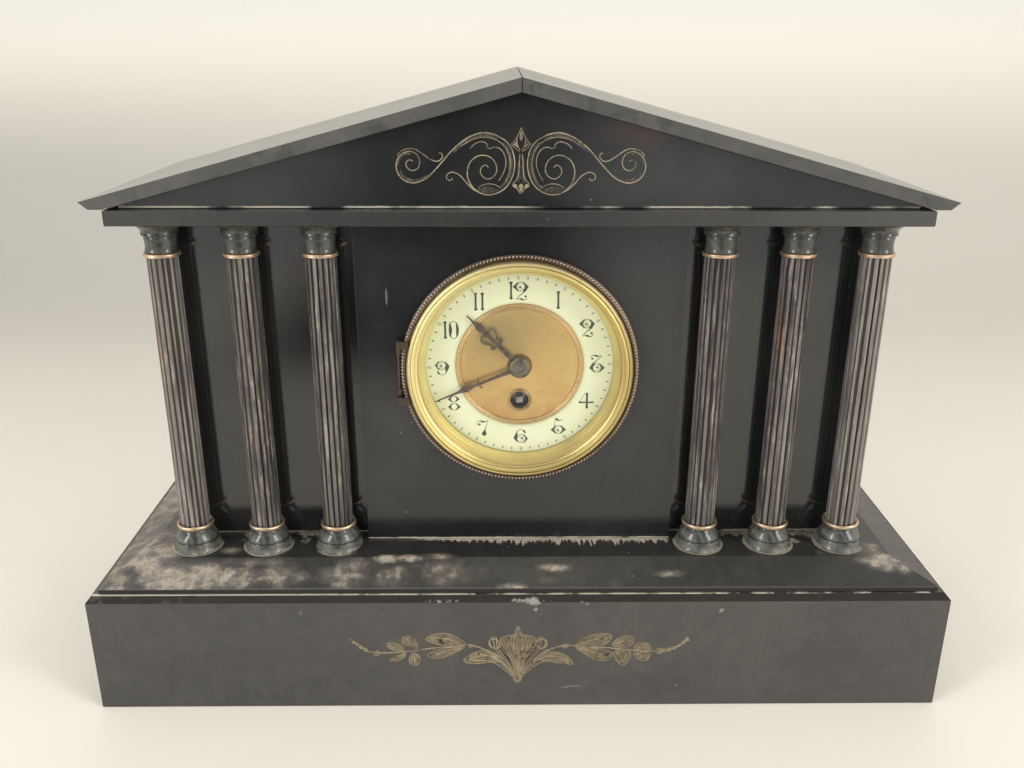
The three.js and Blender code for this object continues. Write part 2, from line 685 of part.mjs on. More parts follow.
add('hour_wheel', cut(
  join(
    toothedDisc(
      teeth.hour, pitchRadius.hour, gapPhase(centreArbor, minuteArbor, teeth.hour),
      hourWheelFront, hourWheelBack, centreArbor,
    ),
    turned(rodProfile(pipeRadius, pipeFront, hourWheelBack), facets.small),
  ),
  turned(rodProfile(pipeBore, pipeFront - overrun, hourWheelBack + overrun), facets.small),
), yellowBrass);

add('cannon_pinion', cut(
  join(
    toothedDisc(
      teeth.cannon, pinionRadius('minute', 'cannon'), direction(centreArbor, minuteArbor),
      minuteWheelFront - leafOverlap, cannonBack, centreArbor,
    ),
    turned(rodProfile(cannonRadius, pipeFront, cannonBack), facets.small),
  ),
  turned(rodProfile(cannonBore, pipeFront - overrun, cannonBack + overrun), facets.small),
), steel);

add('minute_wheel', join(
  toothedDisc(
    teeth.minute, pitchRadius.minute, gapPhase(minuteArbor, centreArbor, teeth.minute),
    minuteWheelFront, minuteWheelFront + wheelThickness, minuteArbor,
  ),
  toothedDisc(
    teeth.minutePinion, pinionRadius('hour', 'minutePinion'), direction(minuteArbor, centreArbor),
    hourWheelFront - leafOverlap, hourWheelBack + leafOverlap, minuteArbor,
  ),
  arbor(arborRadius.minute, hourWheelFront - leafOverlap, frontPlateBack, minuteArbor),
), yellowBrass);

// Plates, with a pivot hole wherever an arbor runs through
function pivotHole(at, radius, front, back) {
  return turned(
    rodProfile(radius + runningClearance, front - overrun, back + overrun), arborFacets(radius), at,
  );
}

const trainArbors = [
  [centreArbor, arborRadius.centre], [intermediateArbor, arborRadius.train],
  [thirdArbor, arborRadius.train], [escapeArbor, arborRadius.train],
];

const frontPlateHoles = [
  ...trainArbors, [minuteArbor, arborRadius.minute], [palletArbor, arborRadius.pallets],
  [windingArbor, arborRadius.winding],
].map(([at, radius]) => pivotHole(at, radius, frontPlateFace, frontPlateBack));

const pillars = circlePoints(plates.pillarCircle, plates.pillars, Math.PI / 4)
  .map((point) => arbor(plates.pillarRadius, frontPlateFace, backPlateFace - seam, point.toArray()));

add('front_plate', cut(
  join(turned(rodProfile(plates.radius, frontPlateFace, frontPlateBack), facets.ring), ...pillars),
  ...frontPlateHoles,
), yellowBrass);

const palletHole = 2.2;
add('back_plate', cut(
  turned(rodProfile(plates.radius, backPlateFace, backPlateBack), facets.ring),
  ...trainArbors.map(([at, radius]) => pivotHole(at, radius, backPlateFace, backPlateBack)),
  pivotHole(windingArbor, arborRadius.winding, backPlateFace, backPlateBack),
  pivotHole(palletArbor, palletHole, backPlateFace, backPlateBack),
), yellowBrass);

// Going train. Each wheel's front is counted from the inside of the front plate
const layer = { intermediate: 1.8, centre: 5, barrel: 8, third: 13, escape: 17 };
const wheelFront = (name) => frontPlateBack + layer[name];
const pinionFront = (name) => wheelFront(name) - (pinionLength - wheelThickness) / 2;

// A pinion of the train, with a gap between its leaves where it faces the wheel that it meshes with
function trainPinion(wheelName, pinionName, at, partner) {
  const front = pinionFront(wheelName);
  return toothedDisc(
    teeth[pinionName], pinionRadius(wheelName, pinionName), gapPhase(at, partner, teeth[pinionName]),
    front, front + pinionLength, at,
  );
}

const greatWheelFront = wheelFront('barrel');
const greatWheelBack = greatWheelFront + wheelThickness;
const drumBack = greatWheelBack + barrelDrum.length;
add('barrel', cut(
  join(
    toothedDisc(
      teeth.barrel, pitchRadius.barrel, direction(windingArbor, intermediateArbor),
      greatWheelFront, greatWheelBack, windingArbor,
    ),
    turned(rodProfile(barrelDrum.radius, greatWheelFront, drumBack), facets.wheel, windingArbor),
  ),
  pivotHole(windingArbor, arborRadius.winding, greatWheelFront, drumBack),
), yellowBrass);

add('intermediate_wheel', join(
  wheel(
    'intermediate', direction(intermediateArbor, centreArbor),
    wheelFront('intermediate'), intermediateArbor,
  ),
  trainPinion('barrel', 'intermediatePinion', intermediateArbor, windingArbor),
  arbor(arborRadius.train, frontPlateFace, backPlateBack, intermediateArbor),
), yellowBrass);

add('centre_wheel', join(
  wheel('centre', direction(centreArbor, thirdArbor), wheelFront('centre'), centreArbor),
  trainPinion('intermediate', 'centrePinion', centreArbor, intermediateArbor),
  arbor(arborRadius.centre, pipeFront, backPlateBack, centreArbor),
), yellowBrass);

add('third_wheel', join(
  wheel('third', direction(thirdArbor, escapeArbor), wheelFront('third'), thirdArbor),
  trainPinion('centre', 'thirdPinion', thirdArbor, centreArbor),
  arbor(arborRadius.train, frontPlateFace, backPlateBack, thirdArbor),
), yellowBrass);

// Slanted pointed teeth, for the escape wheel and the ratchet
const slantShare = 0.8;

function slantedShape(count, radius, depth) {
  const points = [];
  for (let i = 0; i < count; i++) {
    const angle = 2 * Math.PI * i / count;
    points.push(polar(radius, angle), polar(radius - depth, angle + slantShare * 2 * Math.PI / count));
  }
  return new THREE.Shape(points);
}

const escapeShape = crossings(
  slantedShape(teeth.escape, escapement.wheelRadius, escapement.toothDepth),
  escapement.wheelRadius - escapement.toothDepth,
);
add('escape_wheel', join(
  plate(escapeShape, wheelFront('escape'), wheelFront('escape') + wheelThickness)
    .translate(escapeArbor[0], 0, dialZ + escapeArbor[1]),
  trainPinion('third', 'escapePinion', escapeArbor, thirdArbor),
  arbor(arborRadius.train, frontPlateFace, backPlateBack, escapeArbor),
), yellowBrass);

// Winding arbor: the key's square, the ratchet wheel and the arbor that the barrel turns on
const squareFront = panFace + seam;
const ratchetFront = frontPlateFace - seam - ratchet.thickness;
const halfSquare = ratchet.squareWidth / 2;
add('winding_arbor', join(
  box(
    [-halfSquare, squareFront, dialZ - dial.windingDrop - halfSquare],
    [halfSquare, squareFront + ratchet.squareLength, dialZ - dial.windingDrop + halfSquare],
  ),
  plate(
    slantedShape(teeth.ratchet, ratchet.radius, ratchet.toothDepth),
    ratchetFront, ratchetFront + ratchet.thickness,
  ).translate(0, 0, dialZ - dial.windingDrop),
  arbor(arborRadius.winding, squareFront + ratchet.squareLength - overrun, backPlateBack, windingArbor),
), steel);

// The click rides just clear of the ratchet's tooth tips
function clickPiece() {
  const pivot = [click.pivotX, -dial.windingDrop - click.pivotDrop];
  const tip = [ratchet.radius + click.clearance, -dial.windingDrop];
  const arm = new THREE.Shape([
    [pivot[0] - click.bossRadius, pivot[1]], [pivot[0] + click.bossRadius, pivot[1]],
    [tip[0] + click.tipWidth, tip[1]], [tip[0], tip[1]],
  ].map(([x, z]) => new THREE.Vector2(x, z)));
  const boss = rodProfile(click.bossRadius, ratchetFront, ratchetFront + ratchet.thickness);
  const pin = rodProfile(click.pinRadius, ratchetFront - seam, frontPlateFace - seam / 2);
  return join(
    plate(arm, ratchetFront, ratchetFront + ratchet.thickness).translate(0, 0, dialZ),
    turned(boss, facets.small, pivot),
    turned(pin, facets.small, pivot),
  );
}

add('click', clickPiece(), steel);

// Pallets: the anchor over the escape wheel, its arbor and the crutch behind the back plate
const escapeMiddle = wheelFront('escape') + wheelThickness / 2;
const crutchFront = backPlateBack + crutch.standoff;
const cockFront = backPlateBack + cock.standoff;
const cockBack = cockFront + cock.thickness;
const rodY = cockBack + pendulum.behindCock;

function anchorShape() {
  const { wheelRadius, armWidth, nib } = escapement;
  const swingClearance = palletReach * THREE.MathUtils.degToRad(escapement.swing) + seam;
  const out = (wheelRadius + swingClearance) * Math.SQRT1_2;
  const drop = palletReach - out;
  return new THREE.Shape([
    [-out - nib, -drop], [-out, -drop], [-out + nib / 2, -drop + armWidth], [0, -armWidth],
    [out - nib / 2, -drop + armWidth], [out, -drop], [out + nib, -drop],
    [armWidth, armWidth], [-armWidth, armWidth],
  ].map(([x, z]) => new THREE.Vector2(x, z)));
}

function palletsPiece() {
  const axisZ = dialZ + palletArbor[1];
  const forkZ = axisZ - crutch.length;
  const halfThickness = escapement.thickness / 2;
  const outer = crutch.grip + crutch.tine;
  const fork = [-1, 1].map((sign) => {
    const [x0, x1] = [sign * crutch.grip, sign * outer].sort((a, b) => a - b);
    const tineEnd = [x1, rodY + crutch.grip, forkZ + crutch.thickness];
    return box([x0, crutchFront, forkZ - crutch.thickness], tineEnd);
  });
  return join(
    plate(anchorShape(), escapeMiddle - halfThickness, escapeMiddle + halfThickness).translate(0, 0, axisZ),
    arbor(arborRadius.pallets, frontPlateFace, cockBack, palletArbor),
    box([-crutch.width / 2, crutchFront, forkZ], [crutch.width / 2, crutchFront + crutch.thickness, axisZ]),
    box(
      [-outer, crutchFront, forkZ - crutch.thickness],
      [outer, crutchFront + crutch.thickness, forkZ + crutch.thickness],
    ),
    ...fork,
  );
}

add('pallets', palletsPiece(), steel);

// Back cock: a bridge on two posts, with the stud that the suspension spring hangs from
function backCock() {
  const axisZ = dialZ + palletArbor[1];
  const postZ = palletArbor[1] + cock.postRise;
  const half = cock.width / 2;
  const studBottom = axisZ + pendulum.springTop + seam;
  const bridge = box(
    [-cock.postSpread, cockFront, axisZ + cock.postRise - half],
    [cock.postSpread, cockBack, axisZ + cock.postRise + half],
  );
  const tongue = box([-half, cockFront, axisZ - half], [half, cockBack, axisZ + cock.postRise + half]);
  const stud = box(
    [-cock.studWidth / 2, cockFront, studBottom],
    [cock.studWidth / 2, rodY + pendulum.rodRadius + cock.thickness, axisZ + cock.postRise + half],
  );
  const posts = [-1, 1].map((sign) => arbor(
    cock.postRadius, backPlateBack + seam, cockBack, [sign * (cock.postSpread - cock.postRadius), postZ],
  ));
  return cut(
    join(bridge, tongue, stud, ...posts),
    pivotHole(palletArbor, arborRadius.pallets, cockFront, cockBack),
  );
}

add('back_cock', backCock(), yellowBrass);

// Pendulum: spring and rod, the bob on the rod and the rating nut under it
const pendulumZ = dialZ + palletArbor[1];
const nutBottom = bodyBottom + pendulum.floorGap;
const nutTop = nutBottom + pendulum.nutHeight;
const bobBottom = nutTop + seam;
const bobZ = bobBottom + pendulum.bobRadius;
add('pendulum_rod', join(
  uprightRod(pendulum.rodRadius, 0, rodY, nutBottom, pendulumZ),
  box(
    [-pendulum.springWidth / 2, rodY - pendulum.rodRadius / 2, pendulumZ - pendulum.springWidth],
    [pendulum.springWidth / 2, rodY + pendulum.rodRadius / 2, pendulumZ + pendulum.springTop],
  ),
  uprightRod(pendulum.nutRadius, 0, rodY, nutBottom, nutTop),
), steel);

const bobHalf = pendulum.bobThickness / 2;
const bobEdge = pendulum.bobEdge / 2;
add('pendulum_bob', cut(
  turned([
    [0, rodY - bobHalf], [pendulum.bobRadius * Math.SQRT1_2, rodY - (bobHalf + bobEdge) / 2],
    [pendulum.bobRadius, rodY - bobEdge], [pendulum.bobRadius, rodY + bobEdge],
    [pendulum.bobRadius * Math.SQRT1_2, rodY + (bobHalf + bobEdge) / 2], [0, rodY + bobHalf],
  ], facets.turned, [0, bobZ - dialZ]),
  uprightRod(
    pendulum.rodRadius + seam, 0, rodY, bobBottom - overrun, bobZ + pendulum.bobRadius + overrun,
  ),
), yellowBrass);

// Rear ring and door
const rearFlangeFront = backFace + seam;
const rearFlangeBack = rearFlangeFront + rearRing.flange;
const rearSleeveFront = backInner - rearRing.sleeveReach;
const doorFront = rearFlangeBack + seam;
const doorBack = doorFront + rearDoor.thickness;
const rearHingeX = -(rearRing.radius + rearHinge.outset);
const rearHingeY = (doorFront + doorBack) / 2;

function rearRingPiece() {
  const { radius, sleeveRadius } = rearRing;
  const bore = sleeveRadius - rearRing.sleeveWall;
  const profile = [
    [bore, rearSleeveFront], [sleeveRadius, rearSleeveFront], [sleeveRadius, rearFlangeFront],
    [radius, rearFlangeFront], [radius, rearFlangeBack], [bore, rearFlangeBack],
    [bore, rearSleeveFront],
  ];
  const near = rearHinge.halfLength + seam;
  const far = near + rearHinge.fixedLength;
  const parts = [-1, 1].flatMap((sign) => {
    const [z0, z1] = [dialZ + sign * near, dialZ + sign * far].sort((a, b) => a - b);
    return [
      uprightRod(rearHinge.knuckleRadius, rearHingeX, rearHingeY, z0, z1),
      box([rearHingeX, rearFlangeFront, z0], [-rearRing.sleeveRadius, rearFlangeBack, z1]),
    ];
  });
  const pin = uprightRod(rearHinge.pinRadius, rearHingeX, rearHingeY, dialZ - far, dialZ + far);
  return join(turned(profile, facets.rear), ...parts, pin);
}

function rearDoorPiece() {
  const { radius, dishRadius, dish, thickness } = rearDoor;
  const dishEdge = dishRadius - dish;
  const [dishFront, dishBack] = [doorFront + dish, doorFront + dish + thickness];
  const [low, high] = [dialZ - rearHinge.halfLength, dialZ + rearHinge.halfLength];
  const disc = turned([
    [0, dishFront], [dishEdge, dishFront], [dishRadius, doorFront], [radius, doorFront],
    [radius, doorBack], [dishRadius, doorBack], [dishEdge, dishBack], [0, dishBack],
  ], facets.rear);
  const knuckle = uprightRod(rearHinge.knuckleRadius, rearHingeX, rearHingeY, low, high);
  const lug = box(
    [rearHingeX, doorFront, low], [-dishRadius, doorBack, high],
  );
  const knob = turned(
    rodProfile(rearDoor.knobRadius, doorFront + thickness / 2, doorBack + rearDoor.knobHeight),
    facets.small, [(radius + dishRadius) / 2, 0],
  );
  const hole = uprightRod(
    rearHinge.pinRadius + runningClearance, rearHingeX, rearHingeY,
    dialZ - rearHinge.halfLength - overrun, dialZ + rearHinge.halfLength + overrun,
  );
  return cut(join(disc, knuckle, lug, knob), hole);
}

add('rear_ring', rearRingPiece(), yellowBrass);
add('rear_door', rearDoorPiece(), yellowBrass);

// Straps that draw the bezel mount and the rear ring together through the case
for (const [side, sign] of [['left', -1], ['right', 1]]) {
  const inner = mount.sleeveRadius + seam;
  const outer = inner + strap.thickness;
  const half = strap.width / 2;
  const tabBack = rearSleeveFront - seam;
  const span = (from, to) => [sign * from, sign * to].sort((a, b) => a - b);
  const [barX0, barX1] = span(inner, outer);
  const [tabX0, tabX1] = span(outer - strap.tab, outer);
  add(`strap_${side}`, join(
    box([barX0, blockBack + seam, dialZ - half], [barX1, tabBack, dialZ + half]),
    box([tabX0, tabBack - strap.thickness, dialZ - half], [tabX1, tabBack, dialZ + half]),
  ), yellowBrass);
}

clock.position.y = -plinth.depth / 2;

export default clock;
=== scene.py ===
import json
import math

import bmesh
import bpy
from mathutils import Matrix, Vector
from mathutils.noise import noise as solidNoise


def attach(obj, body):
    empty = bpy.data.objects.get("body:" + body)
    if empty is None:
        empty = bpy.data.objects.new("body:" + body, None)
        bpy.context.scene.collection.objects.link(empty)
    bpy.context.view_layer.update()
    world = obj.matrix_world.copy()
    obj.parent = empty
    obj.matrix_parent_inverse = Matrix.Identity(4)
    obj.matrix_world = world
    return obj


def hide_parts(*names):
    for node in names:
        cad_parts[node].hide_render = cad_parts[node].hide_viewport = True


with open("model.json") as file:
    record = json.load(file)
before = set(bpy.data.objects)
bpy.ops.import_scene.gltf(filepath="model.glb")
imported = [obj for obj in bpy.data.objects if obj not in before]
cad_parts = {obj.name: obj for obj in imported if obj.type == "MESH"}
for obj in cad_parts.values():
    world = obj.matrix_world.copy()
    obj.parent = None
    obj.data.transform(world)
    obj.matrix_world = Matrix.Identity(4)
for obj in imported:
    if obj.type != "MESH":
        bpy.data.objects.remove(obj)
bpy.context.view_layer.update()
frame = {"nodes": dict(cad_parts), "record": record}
nodes = frame["nodes"]
print("frame loaded with", len(nodes), "nodes")

# Millimetres, with depths counted back from the plinth's front edge as in the CAD source
plinthDepth = 155
dialHeight = 158
columnDepth = 32.55
columnOffsets = [-156.05, -121.7, -87.35, 87.35, 121.7, 156.05]


def backOf(depth):
    return (depth - plinthDepth / 2) * 0.001


def at(x, depth, z):
    return Vector((x * 0.001, backOf(depth), z * 0.001))


def link(name, data):
    made = bpy.data.objects.new(name, data)
    bpy.context.scene.collection.objects.link(made)
    return made


# Camera
view = {"place": (-8.46, -454.64, 303.65), "yaw": 0.67, "pitch": 20.2, "roll": 0.15, "lens": 33.455}


def aimCamera():
    yaw, pitch, roll = (math.radians(view[key]) for key in ("yaw", "pitch", "roll"))
    forward = Vector((
        math.sin(yaw) * math.cos(pitch), math.cos(yaw) * math.cos(pitch), -math.sin(pitch),
    ))
    level = Vector((math.cos(yaw), -math.sin(yaw), 0))
    upright = level.cross(forward)
    right = level * math.cos(roll) + upright * math.sin(roll)
    up = upright * math.cos(roll) - level * math.sin(roll)
    data = bpy.data.cameras.new("camera")
    data.lens = view["lens"]
    data.sensor_width = 36
    data.clip_start = 0.01
    camera = link("camera", data)
    place = Matrix((right, up, -forward)).transposed().to_4x4()
    place.translation = Vector(view["place"]) * 0.001
    camera.matrix_world = place
    bpy.context.scene.camera = camera


aimCamera()
bpy.context.scene.view_settings.view_transform = "Standard"


# Shader maths: a socket that can be added, multiplied and compared
class Wire:
    def __init__(self, finish, socket):
        self.finish = finish
        self.socket = socket

    def sum(self, operation, *values):
        return self.finish.node("Math", {"operation": operation}, values)

    def __add__(self, other):
        return self.sum("ADD", self, other)

    def __sub__(self, other):
        return self.sum("SUBTRACT", self, other)

    def __rsub__(self, other):
        return self.sum("SUBTRACT", other, self)

    def __mul__(self, other):
        return self.sum("MULTIPLY", self, other)

    def __pow__(self, other):
        return self.sum("POWER", self, other)

    __radd__ = __add__
    __rmul__ = __mul__

    def size(self):
        return self.sum("ABSOLUTE", self)

    def most(self, *others):
        top = self
        for other in others:
            top = top.sum("MAXIMUM", top, other)
        return top

    def ramp(self, low, high, start, end):
        values = (self, low, high, start, end)
        return self.finish.node("MapRange", {"interpolation_type": "SMOOTHSTEP"}, values)

    def above(self, low, high):
        return self.ramp(low, high, 0, 1)

    def below(self, low, high):
        return self.ramp(low, high, 1, 0)


class Finish:
    # a material, or the light of a world when its tree is given
    def __init__(self, name, tree=None, coordinates="Object"):
        if tree is None:
            self.material = bpy.data.materials.new(name)
            self.material.use_nodes = True
            tree = self.material.node_tree
            tree.nodes.clear()
        self.tree = tree
        self.place = self.node("TexCoord", {}, {}, coordinates)
        self.x, self.y, self.z = self.split(self.place)

    def node(self, kind, settings, values, output=0):
        made = self.tree.nodes.new("ShaderNode" + kind)
        for key, value in settings.items():
            setattr(made, key, value)
        pairs = values.items() if isinstance(values, dict) else enumerate(values)
        for key, value in pairs:
            socket = made.inputs[key]
            if isinstance(value, Wire):
                self.tree.links.new(value.socket, socket)
            elif isinstance(value, tuple) and socket.type == "RGBA":
                socket.default_value = (*value, 1)
            else:
                socket.default_value = value
        return Wire(self, made.outputs[output])

    def split(self, source):
        first = self.node("SeparateXYZ", {}, (source,))
        return [Wire(self, socket) for socket in first.socket.node.outputs]

    def stretched(self, scale, turn=(0, 0, 0), source=None):
        values = {"Vector": source or self.place, "Rotation": turn, "Scale": scale}
        return self.node("Mapping", {}, values)

    def noise(self, scale, detail, roughness=0.5, place=None, warp=0.0):
        return self.node("TexNoise", {}, {
            "Vector": place or self.place, "Scale": scale, "Detail": detail,
            "Roughness": roughness, "Distortion": warp,
        })

    def cells(self, scale):
        return self.node("TexVoronoi", {}, {"Vector": self.place, "Scale": scale})

    def up(self):
        # how far the face looks up
        return self.split(self.node("NewGeometry", {}, {}, "Normal"))[2]

    def away(self, place, weights):
        # metres from a point, each direction weighed on its own
        offset = self.node("VectorMath", {"operation": "SUBTRACT"}, (self.place, place))
        offset = self.node("VectorMath", {"operation": "MULTIPLY"}, (offset, weights))
        return self.node("VectorMath", {"operation": "LENGTH"}, (offset,), "Value")

    def oval(self, x, z, wide, high):
        # 0 at the middle of an oval on an upright face, 1 at its edge; millimetres
        return self.away((x * 0.001, 0, z * 0.001), (1000 / wide, 0, 1000 / high))

    def dialRadius(self):
        rise = self.z - dialHeight * 0.001
        return (self.x * self.x + rise * rise) ** 0.5

    def mix(self, factor, first, second):
        # socket 0 is the factor, 6 and 7 are the colours, and output 2 is their mix
        return self.node("Mix", {"data_type": "RGBA"}, {0: factor, 6: first, 7: second}, 2)

    def coats(self, colour, *layers):
        # each layer is (mask, colour)
        for mask, shade in layers:
            colour = self.mix(mask, colour, shade)
        return colour

    def surface(self, colour, rough, bump=None, metal=0.0, index=1.5):
        values = {"Base Color": colour, "Roughness": rough, "Metallic": metal, "IOR": index}
        if bump:
            height, depth, strength = bump
            values["Normal"] = self.node(
                "Bump", {}, {"Height": height, "Distance": depth, "Strength": strength},
            )
        return self.output(self.node("BsdfPrincipled", {}, values))

    def output(self, shader):
        made = self.tree.nodes.new("ShaderNodeOutputMaterial")
        self.tree.links.new(shader.socket, made.inputs[0])
        return self.material


# Mesh helpers; edges that turn more than this many degrees stay sharp, and points nearer than
# this many metres are one
sharpAngle = 32
weldDistance = 2e-6


def bake(name, shape, sharp=sharpAngle):
    bmesh.ops.remove_doubles(shape, verts=shape.verts, dist=weldDistance)
    bmesh.ops.recalc_face_normals(shape, faces=shape.faces)
    limit = math.radians(sharp)
    for face in shape.faces:
        face.smooth = True
    for edge in shape.edges:
        edge.smooth = len(edge.link_faces) == 2 and edge.calc_face_angle(0) < limit
    mesh = bpy.data.meshes.new(name)
    shape.to_mesh(mesh)
    shape.free()
    return mesh


def piece(name, mesh, body, material, hides=(), place=None):
    made = link(name, mesh)
    if place:
        made.location = place
    made.data.materials.clear()
    made.data.materials.append(material)
    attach(made, body)
    if hides:
        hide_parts(*hides)
    return made


# The most of a side that a softened corner takes, and the bend in radians that stays as it is
cornerLook = {"share": 0.42, "straight": 0.12}


def softened(outline, size, steps=3, closed=True):
    # every corner of an outline becomes a short curve
    count = len(outline)
    out = []
    for i, point in enumerate(outline):
        here = Vector(point)
        if not closed and i in (0, count - 1):
            out.append(tuple(here))
            continue
        before, after = Vector(outline[i - 1]), Vector(outline[(i + 1) % count])
        back, ahead = before - here, after - here
        short = min(back.length, ahead.length) < 1e-6
        if short or abs(back.angle(ahead) - math.pi) < cornerLook["straight"]:
            out.append(tuple(here))
            continue
        start = here + back.normalized() * min(size, back.length * cornerLook["share"])
        end = here + ahead.normalized() * min(size, ahead.length * cornerLook["share"])
        for k in range(steps + 1):
            t = k / steps
            out.append(tuple(start * (1 - t) ** 2 + here * 2 * t * (1 - t) + end * t * t))
    return out


def skin(shape, rows, looped=False, around=True):
    # faces between neighbouring rows of points; looped also joins the last row to the first
    pairs = list(zip(rows, rows[1:])) + ([(rows[-1], rows[0])] if looped else [])
    for near, far in pairs:
        for i in range(len(near) if around else len(near) - 1):
            j = (i + 1) % len(near)
            corners = []
            for vert in (near[i], near[j], far[j], far[i]):
                if vert not in corners:
                    corners.append(vert)
            if len(corners) > 2:
                shape.faces.new(corners)


def dialPoint(radius, angle, depth):
    return at(radius * math.sin(angle), depth, dialHeight + radius * math.cos(angle))


def footPoint(radius, angle, height):
    return Vector((radius * math.cos(angle), radius * math.sin(angle), height)) * 0.001


def lathe(name, outline, count, point=dialPoint, closed=True, sharp=sharpAngle):
    shape = bmesh.new()
    rings = []
    for radius, along in outline:
        if radius < 1e-6:
            rings.append([shape.verts.new(point(0, 0, along))] * count)
        else:
            turn = 2 * math.pi / count
            rings.append([shape.verts.new(point(radius, i * turn, along)) for i in range(count)])
    skin(shape, rings, closed)
    return bake(name, shape, sharp)


def curved(points, steps=5, closed=False):
    # a smooth line through points that are each (across, up, width)
    count = len(points)
    out = []
    for i in range(count if closed else count - 1):
        around = []
        for k in (i - 1, i, i + 1, i + 2):
            around.append(Vector(points[k % count if closed else min(max(k, 0), count - 1)]))
        before, start, end, after = around
        bend = before * 2 - start * 5 + end * 4 - after
        twist = start * 3 - end * 3 + after - before
        for k in range(steps):
            t = k / steps
            out.append((start * 2 + (end - before) * t + bend * t ** 2 + twist * t ** 3) * 0.5)
    if not closed:
        out.append(Vector(points[-1]))
    return out


# Strokes and dots: how far they reach into the surface and their least width, in millimetres
strokeSink = 0.05
thinnestStroke = 0.05
dotSides = 14


def brush(shape, points, place, height, sink=strokeSink, crown=0.0, steps=5, closed=False):
    # a stroke of changing width, with sides, laid on a surface by its place function
    line = curved(points, steps, closed)
    rows = []
    last = len(line) - 1
    for i, (x, y, width) in enumerate(line):
        ahead = line[0 if closed and i == last else min(i + 1, last)]
        behind = line[i - 1] if closed or i else line[0]
        along = Vector((ahead[0] - behind[0], ahead[1] - behind[1])).normalized()
        half = max(width, thinnestStroke) / 2
        sideX, sideY = -along[1] * half, along[0] * half
        corners = [
            (x + sideX, y + sideY, -sink), (x + sideX, y + sideY, height), (x, y, height + crown),
            (x - sideX, y - sideY, height), (x - sideX, y - sideY, -sink),
        ]
        rows.append([shape.verts.new(place(*corner)) for corner in corners])
    skin(shape, rows, closed)
    if not closed:
        shape.faces.new(rows[0][::-1])
        shape.faces.new(rows[-1])


def patch(shape, outline, place, height, sink=strokeSink):
    # a filled shape with sides
    top = [shape.verts.new(place(x, y, height)) for x, y in outline]
    foot = [shape.verts.new(place(x, y, -sink)) for x, y in outline]
    shape.faces.new(top)
    shape.faces.new(foot[::-1])
    skin(shape, [top, foot])


def dot(shape, x, y, radius, place, height, sink=strokeSink):
    turns = [2 * math.pi * i / dotSides for i in range(dotSides)]
    rim = [(x + radius * math.cos(turn), y + radius * math.sin(turn)) for turn in turns]
    patch(shape, rim, place, height, sink)


brokenEdge = {"segments": 2, "profile": 0.6, "affect": "EDGES"}
copyLook = {
    # degrees: what counts as an edge, what stays sharp, and what is still one flat face
    "edge": 35, "sharp": 35, "flat": 0.6,
    # metres
    "weld": 1e-6,
}


def copied(node, edge, limit=copyLook["edge"]):
    # a node's own form with its edges broken, so that they catch light
    shape = bmesh.new()
    shape.from_mesh(nodes[node].data)
    bmesh.ops.remove_doubles(shape, verts=shape.verts, dist=copyLook["weld"])
    bmesh.ops.dissolve_limit(
        shape, angle_limit=math.radians(copyLook["flat"]), verts=shape.verts, edges=shape.edges,
        delimit={"NORMAL"},
    )
    least = math.radians(limit)
    edges = [e for e in shape.edges if len(e.link_faces) == 2 and e.calc_face_angle(0) > least]
    bmesh.ops.bevel(shape, geom=edges, offset=edge * 0.001, clamp_overlap=True, **brokenEdge)
    return bake(node, shape, copyLook["sharp"])


# Slate: polished black stone under a thin uneven film of dust
slateLook = {
    "deep": (0.0105, 0.0115, 0.0135), "cloud": (0.022, 0.0225, 0.0225), "haze": (0.118, 0.112, 0.098),
    "dust": (0.33, 0.275, 0.20), "pale": (0.62, 0.57, 0.45),
}
# Heights at which the marks of the beds between the slabs begin and end, in metres
beds = {
    "mortar": (0.0601, 0.0603), "platform": (0.0699, 0.0702), "plaster": (0.0695, 0.0700),
    "crumbs from": (0.047, 0.0568), "crumbs to": (0.0578, 0.0584), "walls": 0.0704, "gable": 0.2349,
}


def slateFinish(name, haze, rough, layers, streak=0.0, index=1.56):
    # each layer adds its own marks, and may dull the polish
    look = slateLook
    finish = Finish(name)
    cloud = finish.noise(14, 4, 0.55, warp=0.6)
    mottle = finish.mottle = finish.noise(130, 4, 0.65)
    film = finish.noise(7, 5, 0.6, warp=1.2).above(0.25, 0.8) * 0.55 + mottle.above(0.3, 0.75) * 0.45
    veil = film * haze * 0.75 + haze * 0.45
    specks = finish.cells(420).below(0.035, 0.06) * finish.noise(22, 2).above(0.55, 0.7)
    colour = finish.coats(
        look["deep"], (cloud.above(0.35, 0.7), look["cloud"]), (veil, look["haze"]),
        (specks * 0.5, look["pale"]),
    )
    roughness = veil * 0.45 + mottle * 0.06 + rough
    if streak:
        lines = finish.noise(70, 4, 0.6, finish.stretched((1, 1, 0.06))).above(0.5, 0.75) * streak
        colour = finish.mix(lines, colour, look["haze"])
        roughness = roughness + lines * 0.3
    for layer, dull in layers:
        mask, shade = layer(finish)
        colour = finish.mix(mask, colour, shade)
        if dull:
            roughness = roughness + mask * dull
    scratches = finish.noise(60, 2, 0.4, finish.stretched((1, 1, 14), (0.3, 0.5, 0.2)))
    height = finish.noise(900, 2) * 0.4 + mottle * 0.5 + scratches * 0.25
    return finish.surface(colour, roughness, (height, 0.00003, 0.35), index=index)


